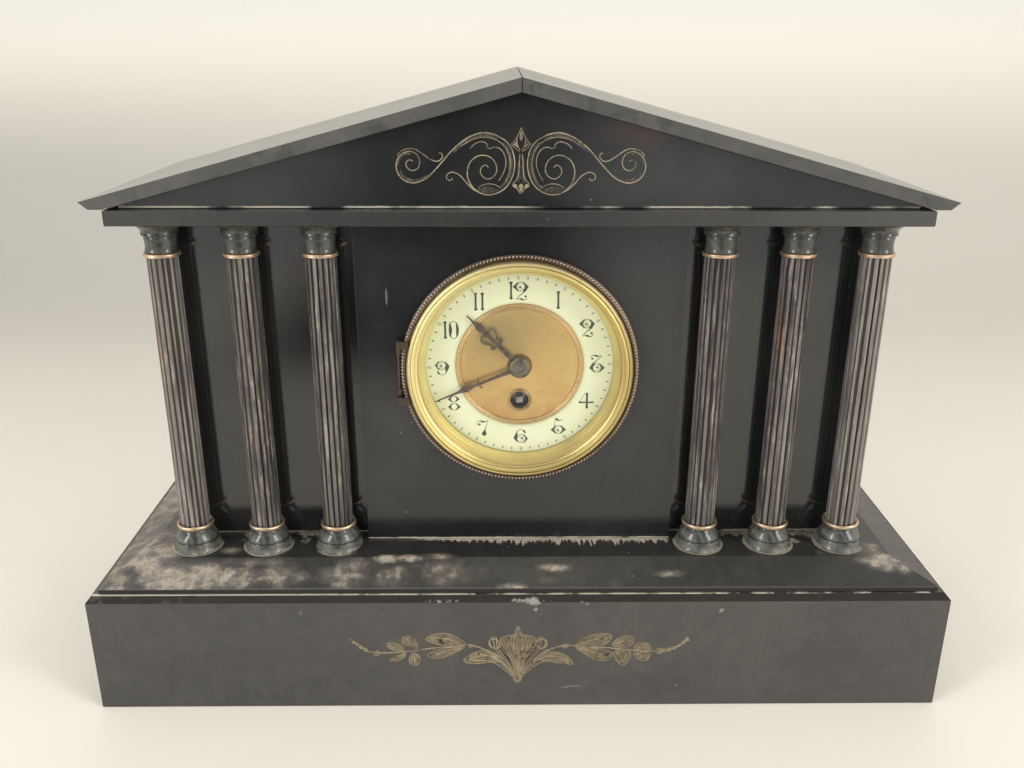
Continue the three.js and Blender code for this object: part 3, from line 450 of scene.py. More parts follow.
slabDust = {
    # across, back, half width and half depth of each patch in millimetres, and how thick it lies;
    # level is their height
    "patches": [
        (-179, 22, 17, 15, 0.8), (-166, 8, 18, 10, 0.86), (-181, 38, 11, 18, 0.64),
        (-148, 9, 18, 9, 0.8), (-132, 8, 18, 7, 0.74), (-112, 8, 20, 7, 0.62), (-84, 8, 16, 7, 0.66),
        (-76, 15, 12, 6, 0.58), (-128, 17, 16, 4, 0.5), (-182, 72, 8, 26, 0.5), (-64, 19, 8, 3.5, 0.8),
        (-52, 19.5, 9, 3, 0.76), (-42, 20.5, 11, 3, 0.6), (-39, 12, 20, 8, 0.52), (-58, 9, 15, 7, 0.6),
        (-20, 11, 18, 7, 0.44), (-4, 3.5, 7, 2.5, 0.86), (15, 13.5, 9, 2.6, 0.6), (12, 7, 8, 3, 0.36),
        (71, 10, 7, 2, 0.5), (40, 5, 9, 2.5, 0.34), (-139, 26, 6, 4, 0.66), (-142, 42, 9, 3, 0.5),
        (174, 16, 10, 6, 0.86), (164, 17, 8, 3, 0.6), (181, 14, 7, 5, 0.7), (172, 25, 6, 9, 0.55),
        (184, 60, 6, 34, 0.46), (146, 37, 7, 4, 0.55), (144, 22, 4, 4, 0.5), (-100, 32, 5, 3, 0.4),
    ],
    "level": 66, "thin": (0.27, 0.255, 0.22), "thick": (0.52, 0.435, 0.33),
}


def topDust(finish):
    # tan dust in blots of every size, thickest at the left corner
    cloud = finish.noise(38, 8, 0.68)
    detail = finish.noise(150, 6, 0.75)
    grain = finish.noise(700, 3, 0.7)
    mask = (finish.x * -1).above(0.140, 0.186) * 0.62
    for across, back, width, depth, thick in slabDust["patches"]:
        spot = tuple(at(across, back, slabDust["level"]))
        away = finish.away(spot, (1000 / width, 1000 / depth, 8))
        mask = mask.most(away.below(0.1, 1.9) * thick)
    lain = (cloud * 0.9 + detail * 0.8 + mask - 1.24).above(0.0, 0.42)
    film = (cloud * 1.1 + mask * 0.8 - 0.74).above(0.0, 0.42) * 0.42
    lain = (lain * (grain * 0.9 + 0.42)).most(film)
    shade = finish.mix(detail.above(0.40, 0.60), slabDust["thin"], slabDust["thick"])
    return lain * finish.up().above(0.55, 0.8) * 0.86, shade


def platformShade(finish):
    # painted shade on the level platform, which is darker than the slope; the slab is also darker toward its
    # right end
    level = finish.z.above(*beds["platform"]) * 0.6
    return level.most(finish.x.above(0.02, 0.15) * 0.42), (0.0150, 0.0135, 0.0115)


plaster = {
    # millimetres: ring round each column's foot, depth of the panels' and the dial block's fronts
    "foot": (10.8, 11.4), "panels": 43.6, "block": 37.0,
    # metres: how far it reaches out along the block, beyond its least width
    "reach": 0.0072, "least": 0.0012, "aged": (0.46, 0.42, 0.33),
}


def plasterMarks(finish):
    # plaster squeezed out round the column feet and along the foot of the walls and the dial block
    across = finish.x.size()
    ragged = finish.noise(240, 4, 0.7)
    spread = finish.noise(34, 3, 0.6)
    inner, outer = plaster["foot"]
    dy = finish.y - backOf(columnDepth)
    rings = []
    for offset in columnOffsets[3:]:
        dx = across - offset * 0.001
        far = (dx * dx + dy * dy) ** 0.5 - spread * 0.0011 - ragged * 0.0006
        rings.append(far.below(inner * 0.001, outer * 0.001))
    broken = (spread + dy * -9 + finish.x * 0.3).above(0.40, 0.52)
    feet = rings[0].most(*rings[1:]) * broken * (ragged * 0.7 + 0.35)
    smear = finish.noise(70, 3, 0.6).above(0.4, 0.75) * 0.013
    behind = ((finish.y - backOf(plaster["panels"])) * -1 - smear).below(-0.001, 0.0004)
    behind = behind * across.above(0.078, 0.080) * across.below(0.158, 0.162)
    behind = behind * (ragged.above(0.35, 0.62) * 0.7 + 0.12)
    comb = finish.noise(560, 3, 0.75, finish.stretched((1, 0.05, 1)))
    long = finish.away((0.022, 0, 0), (22, 0, 0)).below(0.2, 1.5) * 0.6 + 0.4
    reach = comb.above(0.40, 0.70) * long * plaster["reach"] + plaster["least"]
    edge = (finish.y - backOf(plaster["block"])) * -1 - reach * finish.x.above(-0.055, -0.035)
    joint = edge.below(-0.0006, 0.0002) * across.below(0.072, 0.0745) * (ragged * 0.5 + 0.55)
    mask = feet.most(behind, joint) * finish.z.above(*beds["plaster"])
    return mask * 0.9, finish.mix(finish.mottle, slateLook["pale"], plaster["aged"])


def edgeBrown(finish):
    # the upright edge of the slab is brown black
    return finish.up().size().below(0.3, 0.6) * 0.95, (0.011, 0.008, 0.0065)


# On upright faces, in millimetres: across, up, half width and half height; crumbs also have a thickness
faceMarks = {
    "smudges": [(-166, 20, 20, 9), (-126, 27, 18, 8), (144, 24, 26, 11), (64, 12, 26, 7)],
    "crumbs": [(-36, 58.0, 12, 1.1, 0.40), (2, 58.1, 15, 1.2, 0.44), (6, 57.7, 4.5, 2.6, 0.55)],
    "scratches": [(20.6, 10.0, 3, 0.4), (25.4, 10.8, 5, 0.32), (-60, 193, 0.5, 5)],
}


def faceSmudges(finish):
    cloud = finish.noise(90, 4, 0.6) * 0.25
    blots = [(finish.oval(*mark) + cloud).below(0.55, 1.25) for mark in faceMarks["smudges"]]
    shade = finish.mix(finish.mottle, (0.034, 0.033, 0.030), (0.044, 0.042, 0.038))
    return blots[0].most(*blots[1:]) * 0.42, shade


def edgeCrumbs(finish):
    # crumbs of mortar at the top edge of the plinth
    near = finish.z.above(*beds["crumbs from"]) * finish.z.below(*beds["crumbs to"])
    mask = finish.cells(190).below(0.12, 0.24) * finish.noise(30, 4, 0.65).above(0.53, 0.62) * near
    ragged = finish.noise(330, 4, 0.75)
    for *mark, thick in faceMarks["crumbs"]:
        heap = finish.oval(*mark).below(0.2, 1.6) * thick
        mask = mask.most((heap + ragged).above(0.84, 1.00) * 0.85)
    return mask * 0.75, (0.42, 0.40, 0.34)


def bevelBrown(finish):
    # the bevel at the top of the plinth is brown black, greyer at its left end
    up = finish.up()
    left = finish.noise(120, 4, 0.7).above(0.5, 0.62) * (finish.x * -1).above(0.12, 0.19)
    bevel = up.above(0.2, 0.4) * up.below(0.93, 0.98)
    return bevel * (0.95 - left * 0.5), (0.010, 0.0075, 0.006)


def mortarLine(finish):
    # thin pale line where the slab sits on the plinth
    ragged = finish.noise(90, 4, 0.7, finish.stretched((1, 1, 3)))
    front = finish.y.below(-0.0740, -0.0730)
    line = finish.z.above(*beds["mortar"]) * (ragged + finish.x * -0.5).above(0.36, 0.52)
    return line * (front * 0.8 + 0.1), slateLook["pale"]


def roofDustAndSheen(finish):
    # the upper side of the roof is dull and pale, partly real dust and partly a painted sheen for the bright
    # backdrop it mirrors; its edges stay polished
    cloud = finish.noise(26, 5, 0.6, warp=1.0)
    mask = finish.up().above(0.5, 0.8) * (cloud * 0.35 + 0.62)
    speck = finish.cells(260).below(0.07, 0.11)
    return mask, finish.mix(finish.mottle * 0.6 + speck * 0.3, (0.50, 0.485, 0.43), (0.36, 0.35, 0.31))


def fasciaBlots(finish):
    return finish.noise(60, 5, 0.7, warp=1.5).above(0.56, 0.64) * 0.5, (0.020, 0.020, 0.020)


def chips(finish):
    # small pale chips and a few scratches
    mask = finish.cells(260).below(0.07, 0.12) * finish.noise(30, 3, 0.6).above(0.61, 0.66)
    mask = mask.most(*[finish.oval(*mark).below(0.55, 1.0) * 0.7 for mark in faceMarks["scratches"]])
    return mask * finish.mottle.above(0.3, 0.55) * 0.6, (0.36, 0.36, 0.33)


def rustStain(finish):
    # a faint rusty stain near the right slope of the gable
    away = finish.away((0.050, 0, 0.2665), (60, 0, 120))
    return (away + finish.mottle * 0.6).below(0.4, 1.5) * 0.5, (0.060, 0.033, 0.022)


def rightGlow(finish):
    # the slab under the gable is paler toward its right end, partly a light haze that dulls it and partly a
    # painted glow
    return finish.x.above(0.03, 0.20) * 0.32, slateLook["haze"]


def jointDust(height, reach=0.0011, thick=0.85, broken=0.42):
    # ragged cream plaster along the foot of an upright slab
    def dust(finish):
        ragged = finish.noise(210, 4, 0.7, finish.stretched((1, 1, 1.5)))
        line = (finish.z + ragged * -reach).below(height - 0.0001, height + 0.0003)
        gaps = finish.noise(26, 3, 0.6).above(broken - 0.06, broken + 0.05)
        return line * gaps * thick, slateLook["pale"]
    return dust


wallMarks = [(jointDust(beds["walls"]), 0.5), (chips, 0)]
slateKinds = {
    # haze, roughness, layers with how much each dulls the stone, and sometimes streaks and index
    "plinth": (0.47, 0.22, [
        (faceSmudges, 0), (bevelBrown, 0.5), (edgeCrumbs, 0.4), (mortarLine, 0.4), (chips, 0),
    ], 0.12),
    "slab": (0.35, 0.14, [
        (platformShade, 0), (edgeBrown, 0.6), (topDust, 0.6), (plasterMarks, 0.6), (chips, 0),
    ]),
    "block": (0.05, 0.09, wallMarks),
    "panel": (0.03, 0.06, wallMarks, 0.04, 1.7),
    "wall": (0.30, 0.2, wallMarks),
    "entablature": (0.16, 0.19, [(rightGlow, 0.1), (chips, 0)]),
    "tympanum": (0.02, 0.12, [
        (rustStain, 0), (jointDust(beds["gable"], 0.0007, 0.68, 0.46), 0.5), (chips, 0),
    ]),
    "roof": (0.60, 0.24, [(fasciaBlots, 0), (roofDustAndSheen, 0.6), (chips, 0)]),
}
finishes = {kind: slateFinish(kind + " slate", *look) for kind, look in slateKinds.items()}

slabs = {
    # finish, and how far the edges are broken in millimetres
    "plinth_block": ("plinth", 0.35), "plinth_slab": ("slab", 0.3), "dial_block": ("block", 0.3),
    "front_panel_left": ("panel", 0.2), "front_panel_right": ("panel", 0.2),
    "side_wall_left": ("wall", 0.3), "side_wall_right": ("wall", 0.3), "back_wall": ("wall", 0.3),
    "entablature": ("entablature", 0.2), "tympanum": ("tympanum", 0.2), "rear_gable": ("wall", 0.25),
    "roof_slab_left": ("roof", 0.25), "roof_slab_right": ("roof", 0.25),
}
cutDepth = 0.09  # the ornament of the plinth lies within the block's own face
for node, (finish, edge) in slabs.items():
    dressed = copied(node, edge, 15)
    if node == "plinth_block":
        for vert in dressed.vertices:
            if vert.co.y < backOf(0.05):
                vert.co.y += cutDepth * 0.001
    made = piece("slate_" + node, dressed, "case", finishes[finish], [node])
    even = made.modifiers.new("even", "WEIGHTED_NORMAL")
    even.keep_sharp = True
    even.weight = 90
print("slate slabs dressed")


# Columns: turned slate base and capital, fluted metal shaft, gilt ring at each end
column = {
    "base": [
        (0, 0), (11.2, 0), (11.2, 0.4), (10.9, 1.2), (10.4, 2.8), (10.05, 4.2), (9.7, 4.35),
        (9.7, 4.65), (9.85, 4.8), (9.6, 5.8), (9.0, 7.1), (8.15, 8.3), (7.3, 9.2), (6.9, 9.7),
        (6.9, 10.3), (0, 10.3),
    ],
    "capital": [
        (0, 0), (6.9, 0), (7.0, 0.5), (6.7, 1.6), (6.6, 3.2), (6.75, 5.2), (7.0, 6.5), (6.75, 7.0),
        (6.8, 7.4), (7.9, 7.6), (8.1, 8.0), (7.85, 8.4), (7.7, 9.0), (8.2, 10.2), (9.2, 11.2),
        (10.2, 12.0), (10.5, 12.3), (10.5, 12.5), (0, 12.5),
    ],
    "flutes": 16, "steps": 10, "depth": 0.75, "fillet": 0.5, "bottom": 7.0, "top": 6.8,
    "rows": [0, 0.4, 6, 22, 44, 66, 88, 110, 126, 133.0, 133.4],
    "foot": 70.4, "shaft": 81.0, "crown": 214.7, "sides": 72, "soft": 0.22, "shaftSeed": 3.7,
    # outline, softening, height, how far out of true, seed
    "foot ring": ([
        (6.9, 0.1), (7.7, -0.1), (8.3, 0.2), (8.55, 0.9), (8.5, 1.6), (8.2, 2.1), (7.8, 2.15),
        (7.3, 1.7), (6.9, 1.5),
    ], 0.2, 80.95, 0.55, 2.7),
    "neck ring": ([
        (6.6, 0.0), (7.6, 0.0), (7.95, 0.3), (7.7, 0.65), (8.0, 1.0), (7.8, 1.5), (7.3, 1.75),
        (6.6, 1.75),
    ], 0.16, 212.9, 0.12, 1.9),
}


def turnedFinish(name, plasteredAndLit):
    # turned and polished, with a green grey bloom and fine lathe lines
    finish = Finish(name)
    cloud = finish.noise(60, 5, 0.65, warp=0.8)
    rings = finish.noise(160, 2, 0.5, finish.stretched((0.1, 0.1, 6)))
    # painted light and shade: the feet get a paler bloom than the tops, though both are the same turned
    # slate
    pale = (0.175, 0.176, 0.152) if plasteredAndLit else (0.095, 0.097, 0.083)
    dust = finish.noise(150, 5, 0.7).above(0.55, 0.75)
    colour = finish.coats(
        (0.022, 0.024, 0.022), (cloud.above(0.3, 0.7), pale), (dust * 0.24, slateLook["dust"]),
    )
    rough = cloud * 0.14 + dust * 0.25 + 0.09
    if plasteredAndLit:
        low = finish.z.below(0.0, 0.0012) * finish.noise(200, 3, 0.6).above(0.45, 0.62)
        groove = (finish.z - 0.0045).size().below(0.0002, 0.0005)
        colour = finish.coats(
            colour, (low * 0.7, slateLook["pale"]), (groove * 0.8, (0.012, 0.011, 0.010)),
        )
        rough = rough + low * 0.4
    height = rings * 0.6 + finish.noise(700, 2) * 0.4
    return finish.surface(colour, rough, (height, 0.00003, 0.3), index=1.56)


def shaftFinish():
    # bronzed metal: dark in the flutes, from the bronzing and from painted shade, rubbed to grey on the
    # ridges, copper where it is worn through
    finish = Finish("bronzed shaft")
    ridge = ((finish.x * finish.x + finish.y * finish.y) ** 0.5).above(0.00635, 0.00682)
    seed = finish.node("ObjectInfo", {}, {}, "Random")
    shift = finish.node("CombineXYZ", {}, (seed * 3, seed * 5, seed * 7))
    own = finish.node("VectorMath", {"operation": "ADD"}, (finish.place, shift))

    def drawn(scale, detail, roughness, along):
        return finish.noise(scale, detail, roughness, finish.stretched((1, 1, along), source=own))

    streaks = drawn(620, 5, 0.7, 0.05)
    bands = drawn(150, 3, 0.6, 0.03)
    scuffs = drawn(220, 6, 0.75, 0.22)
    worn = drawn(46, 5, 0.65, 0.3).above(0.60, 0.67)
    patches = finish.noise(30, 4, 0.6, own, 0.8)
    # the flutes' near black colour is partly painted shade
    dark = finish.mix(patches, (0.018, 0.014, 0.012), (0.044, 0.036, 0.030))
    rubbed = finish.coats(
        (0.105, 0.096, 0.090), (patches.above(0.35, 0.65), (0.200, 0.180, 0.165)),
        (bands.above(0.40, 0.62), (0.26, 0.245, 0.225)),
        (scuffs.above(0.50, 0.66) * 0.7, (0.50, 0.47, 0.44)),
    )
    # painted light and shade: the outer columns are painted paler, as if better lit, and the inner ones
    # darker, as if shaded by the outer ones
    across = finish.split(finish.node("ObjectInfo", {}, {}, "Location"))[0].size()
    colour = finish.coats(
        dark, (ridge * (streaks.above(0.36, 0.58) * 0.85 + 0.15), rubbed),
        (worn * ridge * 0.7, (0.36, 0.205, 0.13)),
        (across.above(0.125, 0.156) * (ridge * 0.14 + 0.05), (0.52, 0.48, 0.44)),
        (across.below(0.087, 0.120) * 0.16, (0.022, 0.018, 0.015)),
    )
    rough = streaks * 0.2 + (1 - ridge) * 0.2 + 0.27
    height = streaks * 0.8 + finish.noise(1500, 2) * 0.4 + scuffs * 0.5
    return finish.surface(colour, rough, (height, 0.00009, 0.7), 0.45)


def giltFinish(name, bright, dull, dirt, rough, relief=0.35):
    finish = Finish(name)
    stain = finish.noise(70, 4, 0.6, warp=0.8).above(0.42, 0.72) * dirt
    spots = finish.noise(240, 3, 0.6)
    colour = finish.coats(
        bright, (stain, dull), (spots.above(0.62, 0.74) * dirt * 0.6, (0.10, 0.065, 0.035)),
    )
    rough = stain * 0.25 + spots * 0.12 + rough
    return finish.surface(colour, rough, (finish.noise(1100, 2) + spots, 0.00004, relief), 0.92)


def shaftMesh(seed):
    # no two flutes are quite alike
    steps = column["steps"]
    count = column["flutes"] * steps
    shape = bmesh.new()
    loops = []
    for height in column["rows"]:
        share = height / column["rows"][-1]
        outer = column["bottom"] + (column["top"] - column["bottom"]) * share
        loop = []
        for i in range(count):
            across = (i / steps) % 1
            own = solidNoise(Vector((i // steps * 1.7 + seed, seed * 0.31, 5.5)))
            other = solidNoise(Vector((seed * 1.3, i // steps * 2.3 + 0.4, 1.7)))
            fillet = min(max(column["fillet"] + own * 0.3, 0.28), 0.72)
            inside = max((across - fillet) / (1 - fillet), 0)
            dip = column["depth"] * (0.85 + other * 0.8) * math.sin(math.pi * inside) ** 0.9
            dent = solidNoise(Vector((i * 0.13 + seed, height * 0.03, 3.1))) * 0.1 + other * 0.08 - 0.05
            turn = 2 * math.pi * i / count
            loop.append(shape.verts.new(footPoint(outer - dip + dent, turn, height)))
        loops.append(loop)
    skin(shape, loops)
    shape.faces.new(loops[0][::-1])
    shape.faces.new(loops[-1])
    return bake("fluted shaft", shape, 50)


def ringMesh(kind, number):
    # a thin sheet ring, pushed a little out of true
    outline, soft, _, wobble, seed = column[kind]

    def point(radius, angle, height):
        spot = Vector((math.cos(angle) * 1.3, math.sin(angle) * 1.3, number * seed))
        lift = solidNoise(spot) * wobble
        return footPoint(radius + lift * 0.5, angle, height + lift)
    return lathe(kind, softened(outline, soft, 2), column["sides"], point)


turnedFoot = turnedFinish("turned slate foot", True)
turnedTop = turnedFinish("turned slate top", False)
bronzedShaft = shaftFinish()
ringGilt = giltFinish("gilt ring", (0.68, 0.52, 0.35), (0.32, 0.215, 0.15), 0.95, 0.32)
ends = {}
for end in ("base", "capital"):
    outline = softened(column[end], column["soft"], closed=False)
    ends[end] = lathe("column " + end, outline, column["sides"], footPoint, False, 28)


def columnPiece(number, name, mesh, material, height, hides=()):
    place = at(columnOffsets[number - 1], columnDepth, height)
    piece(f"{name}_{number}", mesh, "case", material, hides, place)


for number in range(1, len(columnOffsets) + 1):
    columnPiece(
        number, "base", ends["base"].copy(), turnedFoot, column["foot"],
        [f"column_base_{number}"],
    )
    columnPiece(
        number, "shaft", shaftMesh(number * column["shaftSeed"]), bronzedShaft,
        column["shaft"], [f"column_shaft_{number}"],
    )
    for kind in ("foot ring", "neck ring"):
        mesh = ringMesh(kind, number)
        columnPiece(number, kind.replace(" ", "_"), mesh, ringGilt, column[kind][2])
    columnPiece(
        number, "capital", ends["capital"].copy(), turnedTop, column["crown"],
        [f"column_capital_{number}"],
    )
print("columns set")


# Dial: sleeve and beaded ring, hinged brass bezel, sight ring, enamel ring and gilt centre
def brassFinish(name, bright, dull, tarnish, rough):
    finish = Finish(name)
    stain = finish.noise(40, 5, 0.6, warp=0.8).above(0.46, 0.74) * tarnish
    spots = finish.noise(300, 3, 0.6)
    colour = finish.coats(
        bright, (stain, dull), (spots.above(0.63, 0.72) * tarnish * 0.7, (0.14, 0.105, 0.045)),
    )
    rough = stain * 0.25 + spots * 0.1 + rough
    height = finish.noise(1400, 2) * 0.55 + spots * 0.5
    return finish.surface(colour, rough, (height, 0.00003, 0.3), 0.95)


bezelBands = {
    # metres from the middle of the dial, where each band begins and ends
    "tan": (0.0504, 0.0511), "line": 0.0500, "duller": (0.0480, 0.0487), "slope": (0.0464, 0.0470),
    "inner edge": (0.0438, 0.0441),
}


def bezelFinish():
    # soft turned bands: tan outside, then yellow, a dark line, bright yellow and a duller golden slope
    finish = Finish("bezel brass")
    radius = finish.dialRadius()
    cloud = finish.noise(34, 5, 0.6)
    spots = finish.noise(280, 4, 0.65)
    outer = radius.above(*bezelBands["tan"])
    inner = radius.below(*bezelBands["slope"])
    side = (finish.z - dialHeight * 0.001) * 0.6 - finish.x * 0.8
    colour = finish.coats(
        (0.84, 0.70, 0.27), (outer, (0.55, 0.44, 0.25)),
        ((radius - bezelBands["line"]).size().below(0.00012, 0.0003) * 0.75, (0.20, 0.14, 0.06)),
        (radius.below(*bezelBands["duller"]) * 0.8, (0.60, 0.46, 0.19)),
        (inner, (0.95, 0.80, 0.33)),
        (cloud.above(0.48, 0.74) * 0.35, (0.50, 0.40, 0.20)),
        (spots.above(0.64, 0.73) * 0.4, (0.22, 0.16, 0.07)),
        (radius.below(*bezelBands["inner edge"]) * 0.8, (0.16, 0.11, 0.05)),
        # painted light and shade: brighter at the upper left than at the lower right
        (side.above(0.005, 0.045) * 0.6, (1.0, 0.90, 0.46)),
        (side.below(-0.045, -0.005) * 0.5, (0.44, 0.34, 0.14)),
    )
    rough = cloud * 0.16 + spots * 0.1 + outer * 0.14 + 0.22
    height = finish.noise(1300, 2) * 0.4 + spots * 0.3
    return finish.surface(colour, rough, (height, 0.00002, 0.2), 0.92 - inner * 0.35)


bezelBrass = bezelFinish()
sleeveBronze = brassFinish("dark bronze", (0.22, 0.165, 0.12), (0.10, 0.070, 0.052), 0.7, 0.36)
grooveBronze = brassFinish("groove bronze", (0.10, 0.055, 0.035), (0.055, 0.034, 0.024), 0.6, 0.5)
ropeBronze = brassFinish("rope bronze", (0.58, 0.48, 0.39), (0.27, 0.205, 0.16), 0.6, 0.32)
hingeBronze = brassFinish("hinge bronze", (0.115, 0.088, 0.068), (0.06, 0.044, 0.034), 0.7, 0.42)


def turnedPiece(name, look, body, material, hides=(), point=dialPoint):
    # the outline is a list of (radius, depth), and its corners may be softened
    outline = look["outline"]
    closed = outline[0][0] > 0
    if "soft" in look:
        outline = softened(outline, look["soft"], look["steps"], closed)
    mesh = lathe(name, outline, look["sides"], point, closed)
    return piece(name, mesh, body, material, hides)


rope = {
    "count": 206, "radius": 53.75, "depth": 34.85, "long": 0.85, "wide": 0.52, "deep": 0.95,
    "slant": 30,
}


def ropeMesh():
    # slanted oval beads side by side
    shape = bmesh.new()
    size = Matrix.Diagonal((rope["wide"], rope["deep"], rope["long"], 1))
    slant = Matrix.Rotation(math.radians(rope["slant"]), 4, "Y")
    lift = Matrix.Translation((0, rope["depth"], rope["radius"]))
    for i in range(rope["count"]):
        bead = bmesh.ops.create_uvsphere(shape, u_segments=10, v_segments=7, radius=1)["verts"]
        place = Matrix.Rotation(2 * math.pi * i / rope["count"], 4, "Y") @ lift @ slant @ size
        for vert in bead:
            spot = place @ vert.co
            vert.co = at(spot.x, spot.y, spot.z + dialHeight)
    return bake("rope ring", shape, 80)


bezelMount = {
    "outline": [
        (48.4, 35.6), (51.9, 35.5), (52.2, 35.0), (52.45, 34.9), (52.6, 33.95), (52.85, 33.75),
        (53.1, 33.95), (53.25, 34.9), (54.6, 35.2), (54.7, 35.6), (54.7, 36.7), (49.8, 36.7),
        (49.8, 59.7), (48.4, 59.7),
    ],
    "soft": 0.12, "steps": 2, "sides": 180,
}
mountGroove = {"outline": [(52.15, 35.42), (52.2, 34.8), (52.55, 34.75), (52.6, 35.42)], "sides": 180}
bezelRing = {
    "outline": [
        (52.0, 35.1), (52.1, 34.3), (51.95, 33.2), (51.5, 32.3), (50.9, 31.85), (50.3, 31.9),
        (50.08, 32.35), (49.92, 32.35), (49.75, 31.95), (49.2, 31.75), (48.6, 31.95), (48.3, 32.5),
        (48.1, 32.75), (47.6, 32.85), (46.95, 33.35), (46.9, 33.6), (48.3, 33.6), (48.4, 33.7),
        (48.4, 35.2),
    ],
    "soft": 0.16, "steps": 3, "sides": 220,
}
turnedPiece("bezel_mount_ring", bezelMount, "case", sleeveBronze, ["bezel_mount"])
piece("rope_ring", ropeMesh(), "case", ropeBronze)
turnedPiece("mount_groove", mountGroove, "case", grooveBronze)
turnedPiece("bezel_ring", bezelRing, "front_bezel", bezelBrass, ["bezel"])

# Hinge of the bezel: fixed knuckles on the mount, and knuckles with flat arms on the ring
hinge = {
    "across": -55.5, "depth": 34.6, "knuckle": 1.0, "bore": 0.56, "soft": 0.2, "sides": 28,
    "edge": 0.12,
    # name: body, distances from the dial's middle, outline of the plate from above
    "hinge_lugs": ("case", (8.2, 11.7), [
        (-55.0, 35.0), (-52.6, 35.0), (-52.6, 36.6), (-55.2, 36.6), (-55.5, 35.9),
    ]),
    "hinge_arms": ("front_bezel", (11.8, 15.3), [
        (-56.4, 34.4), (-56.4, 32.8), (-56.0, 32.15), (-55.4, 32.0), (-50.6, 32.0), (-50.6, 33.1),
        (-54.9, 33.1), (-55.0, 34.0), (-55.6, 34.4),
    ]),
}


def hingePlace(radius, angle, height):
    across = hinge["across"] + radius * math.cos(angle)
    return at(across, hinge["depth"] + radius * math.sin(angle), height)


def hingeMesh(name, span, outline):
    # one knuckle above and one below the middle of the dial, each with its plate
    shape = bmesh.new()
    for sign in (1, -1):
        low, high = sorted(dialHeight + sign * reach for reach in span)
        bore, knuckle = hinge["bore"], hinge["knuckle"]
        section = [(bore, low), (knuckle, low), (knuckle, high), (bore, high)]
        section = softened(section, hinge["soft"], 2)
        shape.from_mesh(lathe(name, section, hinge["sides"], hingePlace))
        plate = bmesh.new()
        rows = [[plate.verts.new(at(x, y, z)) for x, y in outline] for z in (low, high)]
        plate.faces.new(rows[0][::-1])
        plate.faces.new(rows[1])
        skin(plate, rows)
        bmesh.ops.bevel(plate, geom=list(plate.edges), offset=hinge["edge"] * 0.001, **brokenEdge)
        solid = bpy.data.meshes.new("plate")
        plate.to_mesh(solid)
        plate.free()
        shape.from_mesh(solid)
    return bake(name, shape, 40)


for name in ("hinge_lugs", "hinge_arms"):
    body, span, outline = hinge[name]
    piece(name, hingeMesh(name, span, outline), body, hingeBronze)


def glassFinish():
    finish = Finish("dial glass")
    smear = finish.noise(30, 4, 0.6)
    clear = finish.node("BsdfTransparent", {}, {})
    gloss = finish.node("BsdfPrincipled", {}, {
        "Base Color": (0.9, 0.95, 0.93), "Roughness": smear * 0.05 + 0.03, "IOR": 1.5,
    })
    rim = finish.node("Fresnel", {}, {"IOR": 1.45})
    return finish.output(finish.node("MixShader", {}, {0: rim * 0.5, 1: clear, 2: gloss}))


def enamelFinish():
    finish = Finish("cream enamel")
    cloud = finish.noise(28, 4, 0.55)
    specks = finish.cells(520).below(0.04, 0.07) * finish.noise(40, 2).above(0.5, 0.7)
    colour = finish.coats(
        (0.93, 0.99, 0.65), (cloud.above(0.3, 0.7), (0.96, 1.0, 0.74)),
        (finish.dialRadius().below(0.0300, 0.0318) * 0.35, (0.56, 0.52, 0.33)),
        (specks * 0.45, (0.45, 0.40, 0.25)),
    )
    return finish.surface(colour, cloud * 0.06 + 0.1, (finish.noise(160, 2), 0.00004, 0.25))


dialGlass = {
    "outline": [(0, 33.8), (47.0, 33.8), (47.9, 34.1), (48.1, 34.4), (48.1, 34.9), (0, 34.9)],
    "sides": 96,
}
sightRing = {
    "outline": [
        (48.1, 35.2), (47.5, 35.3), (46.6, 36.3), (46.3, 36.9), (46.15, 36.9), (45.95, 37.3),
        (45.3, 38.9), (45.1, 39.0), (44.3, 41.2), (43.95, 42.2), (43.8, 43.2), (44.9, 43.2),
        (48.1, 37.2),
    ],
    "soft": 0.2, "steps": 3, "sides": 220,
}
enamelRing = {
    "outline": [
        (29.9, 44.2), (30.2, 43.75), (33, 43.42), (38, 43.3), (43, 43.42), (45.6, 43.75), (45.6, 44.5),
        (29.9, 44.5),
    ],
    "soft": 0.2, "steps": 2, "sides": 160,
}
turnedPiece("glass_disc", dialGlass, "front_bezel", glassFinish(), ["bezel_glass"])
turnedPiece("sight_ring_cone", sightRing, "case", bezelBrass, ["sight_ring"])
turnedPiece("enamel_ring", enamelRing, "case", enamelFinish(), ["chapter_ring"])

# Printed numerals and minute marks, in millimetres about the middle of each numeral
dialPrint = {"turn": 1.1, "radius": 36.2, "marks": 42.1, "size": 0.97, "lift": 0.05}


def enamelPlace(x, z, height):
    radius = math.hypot(x, z)
    front = enamelRing["outline"][:6]
    for (near, depth), (far, deeper) in zip(front, front[1:]):
        if radius <= far:
            break
    share = min(max((radius - near) / (far - near), 0), 1)
    return at(x, depth + (deeper - depth) * share - height, dialHeight + z)


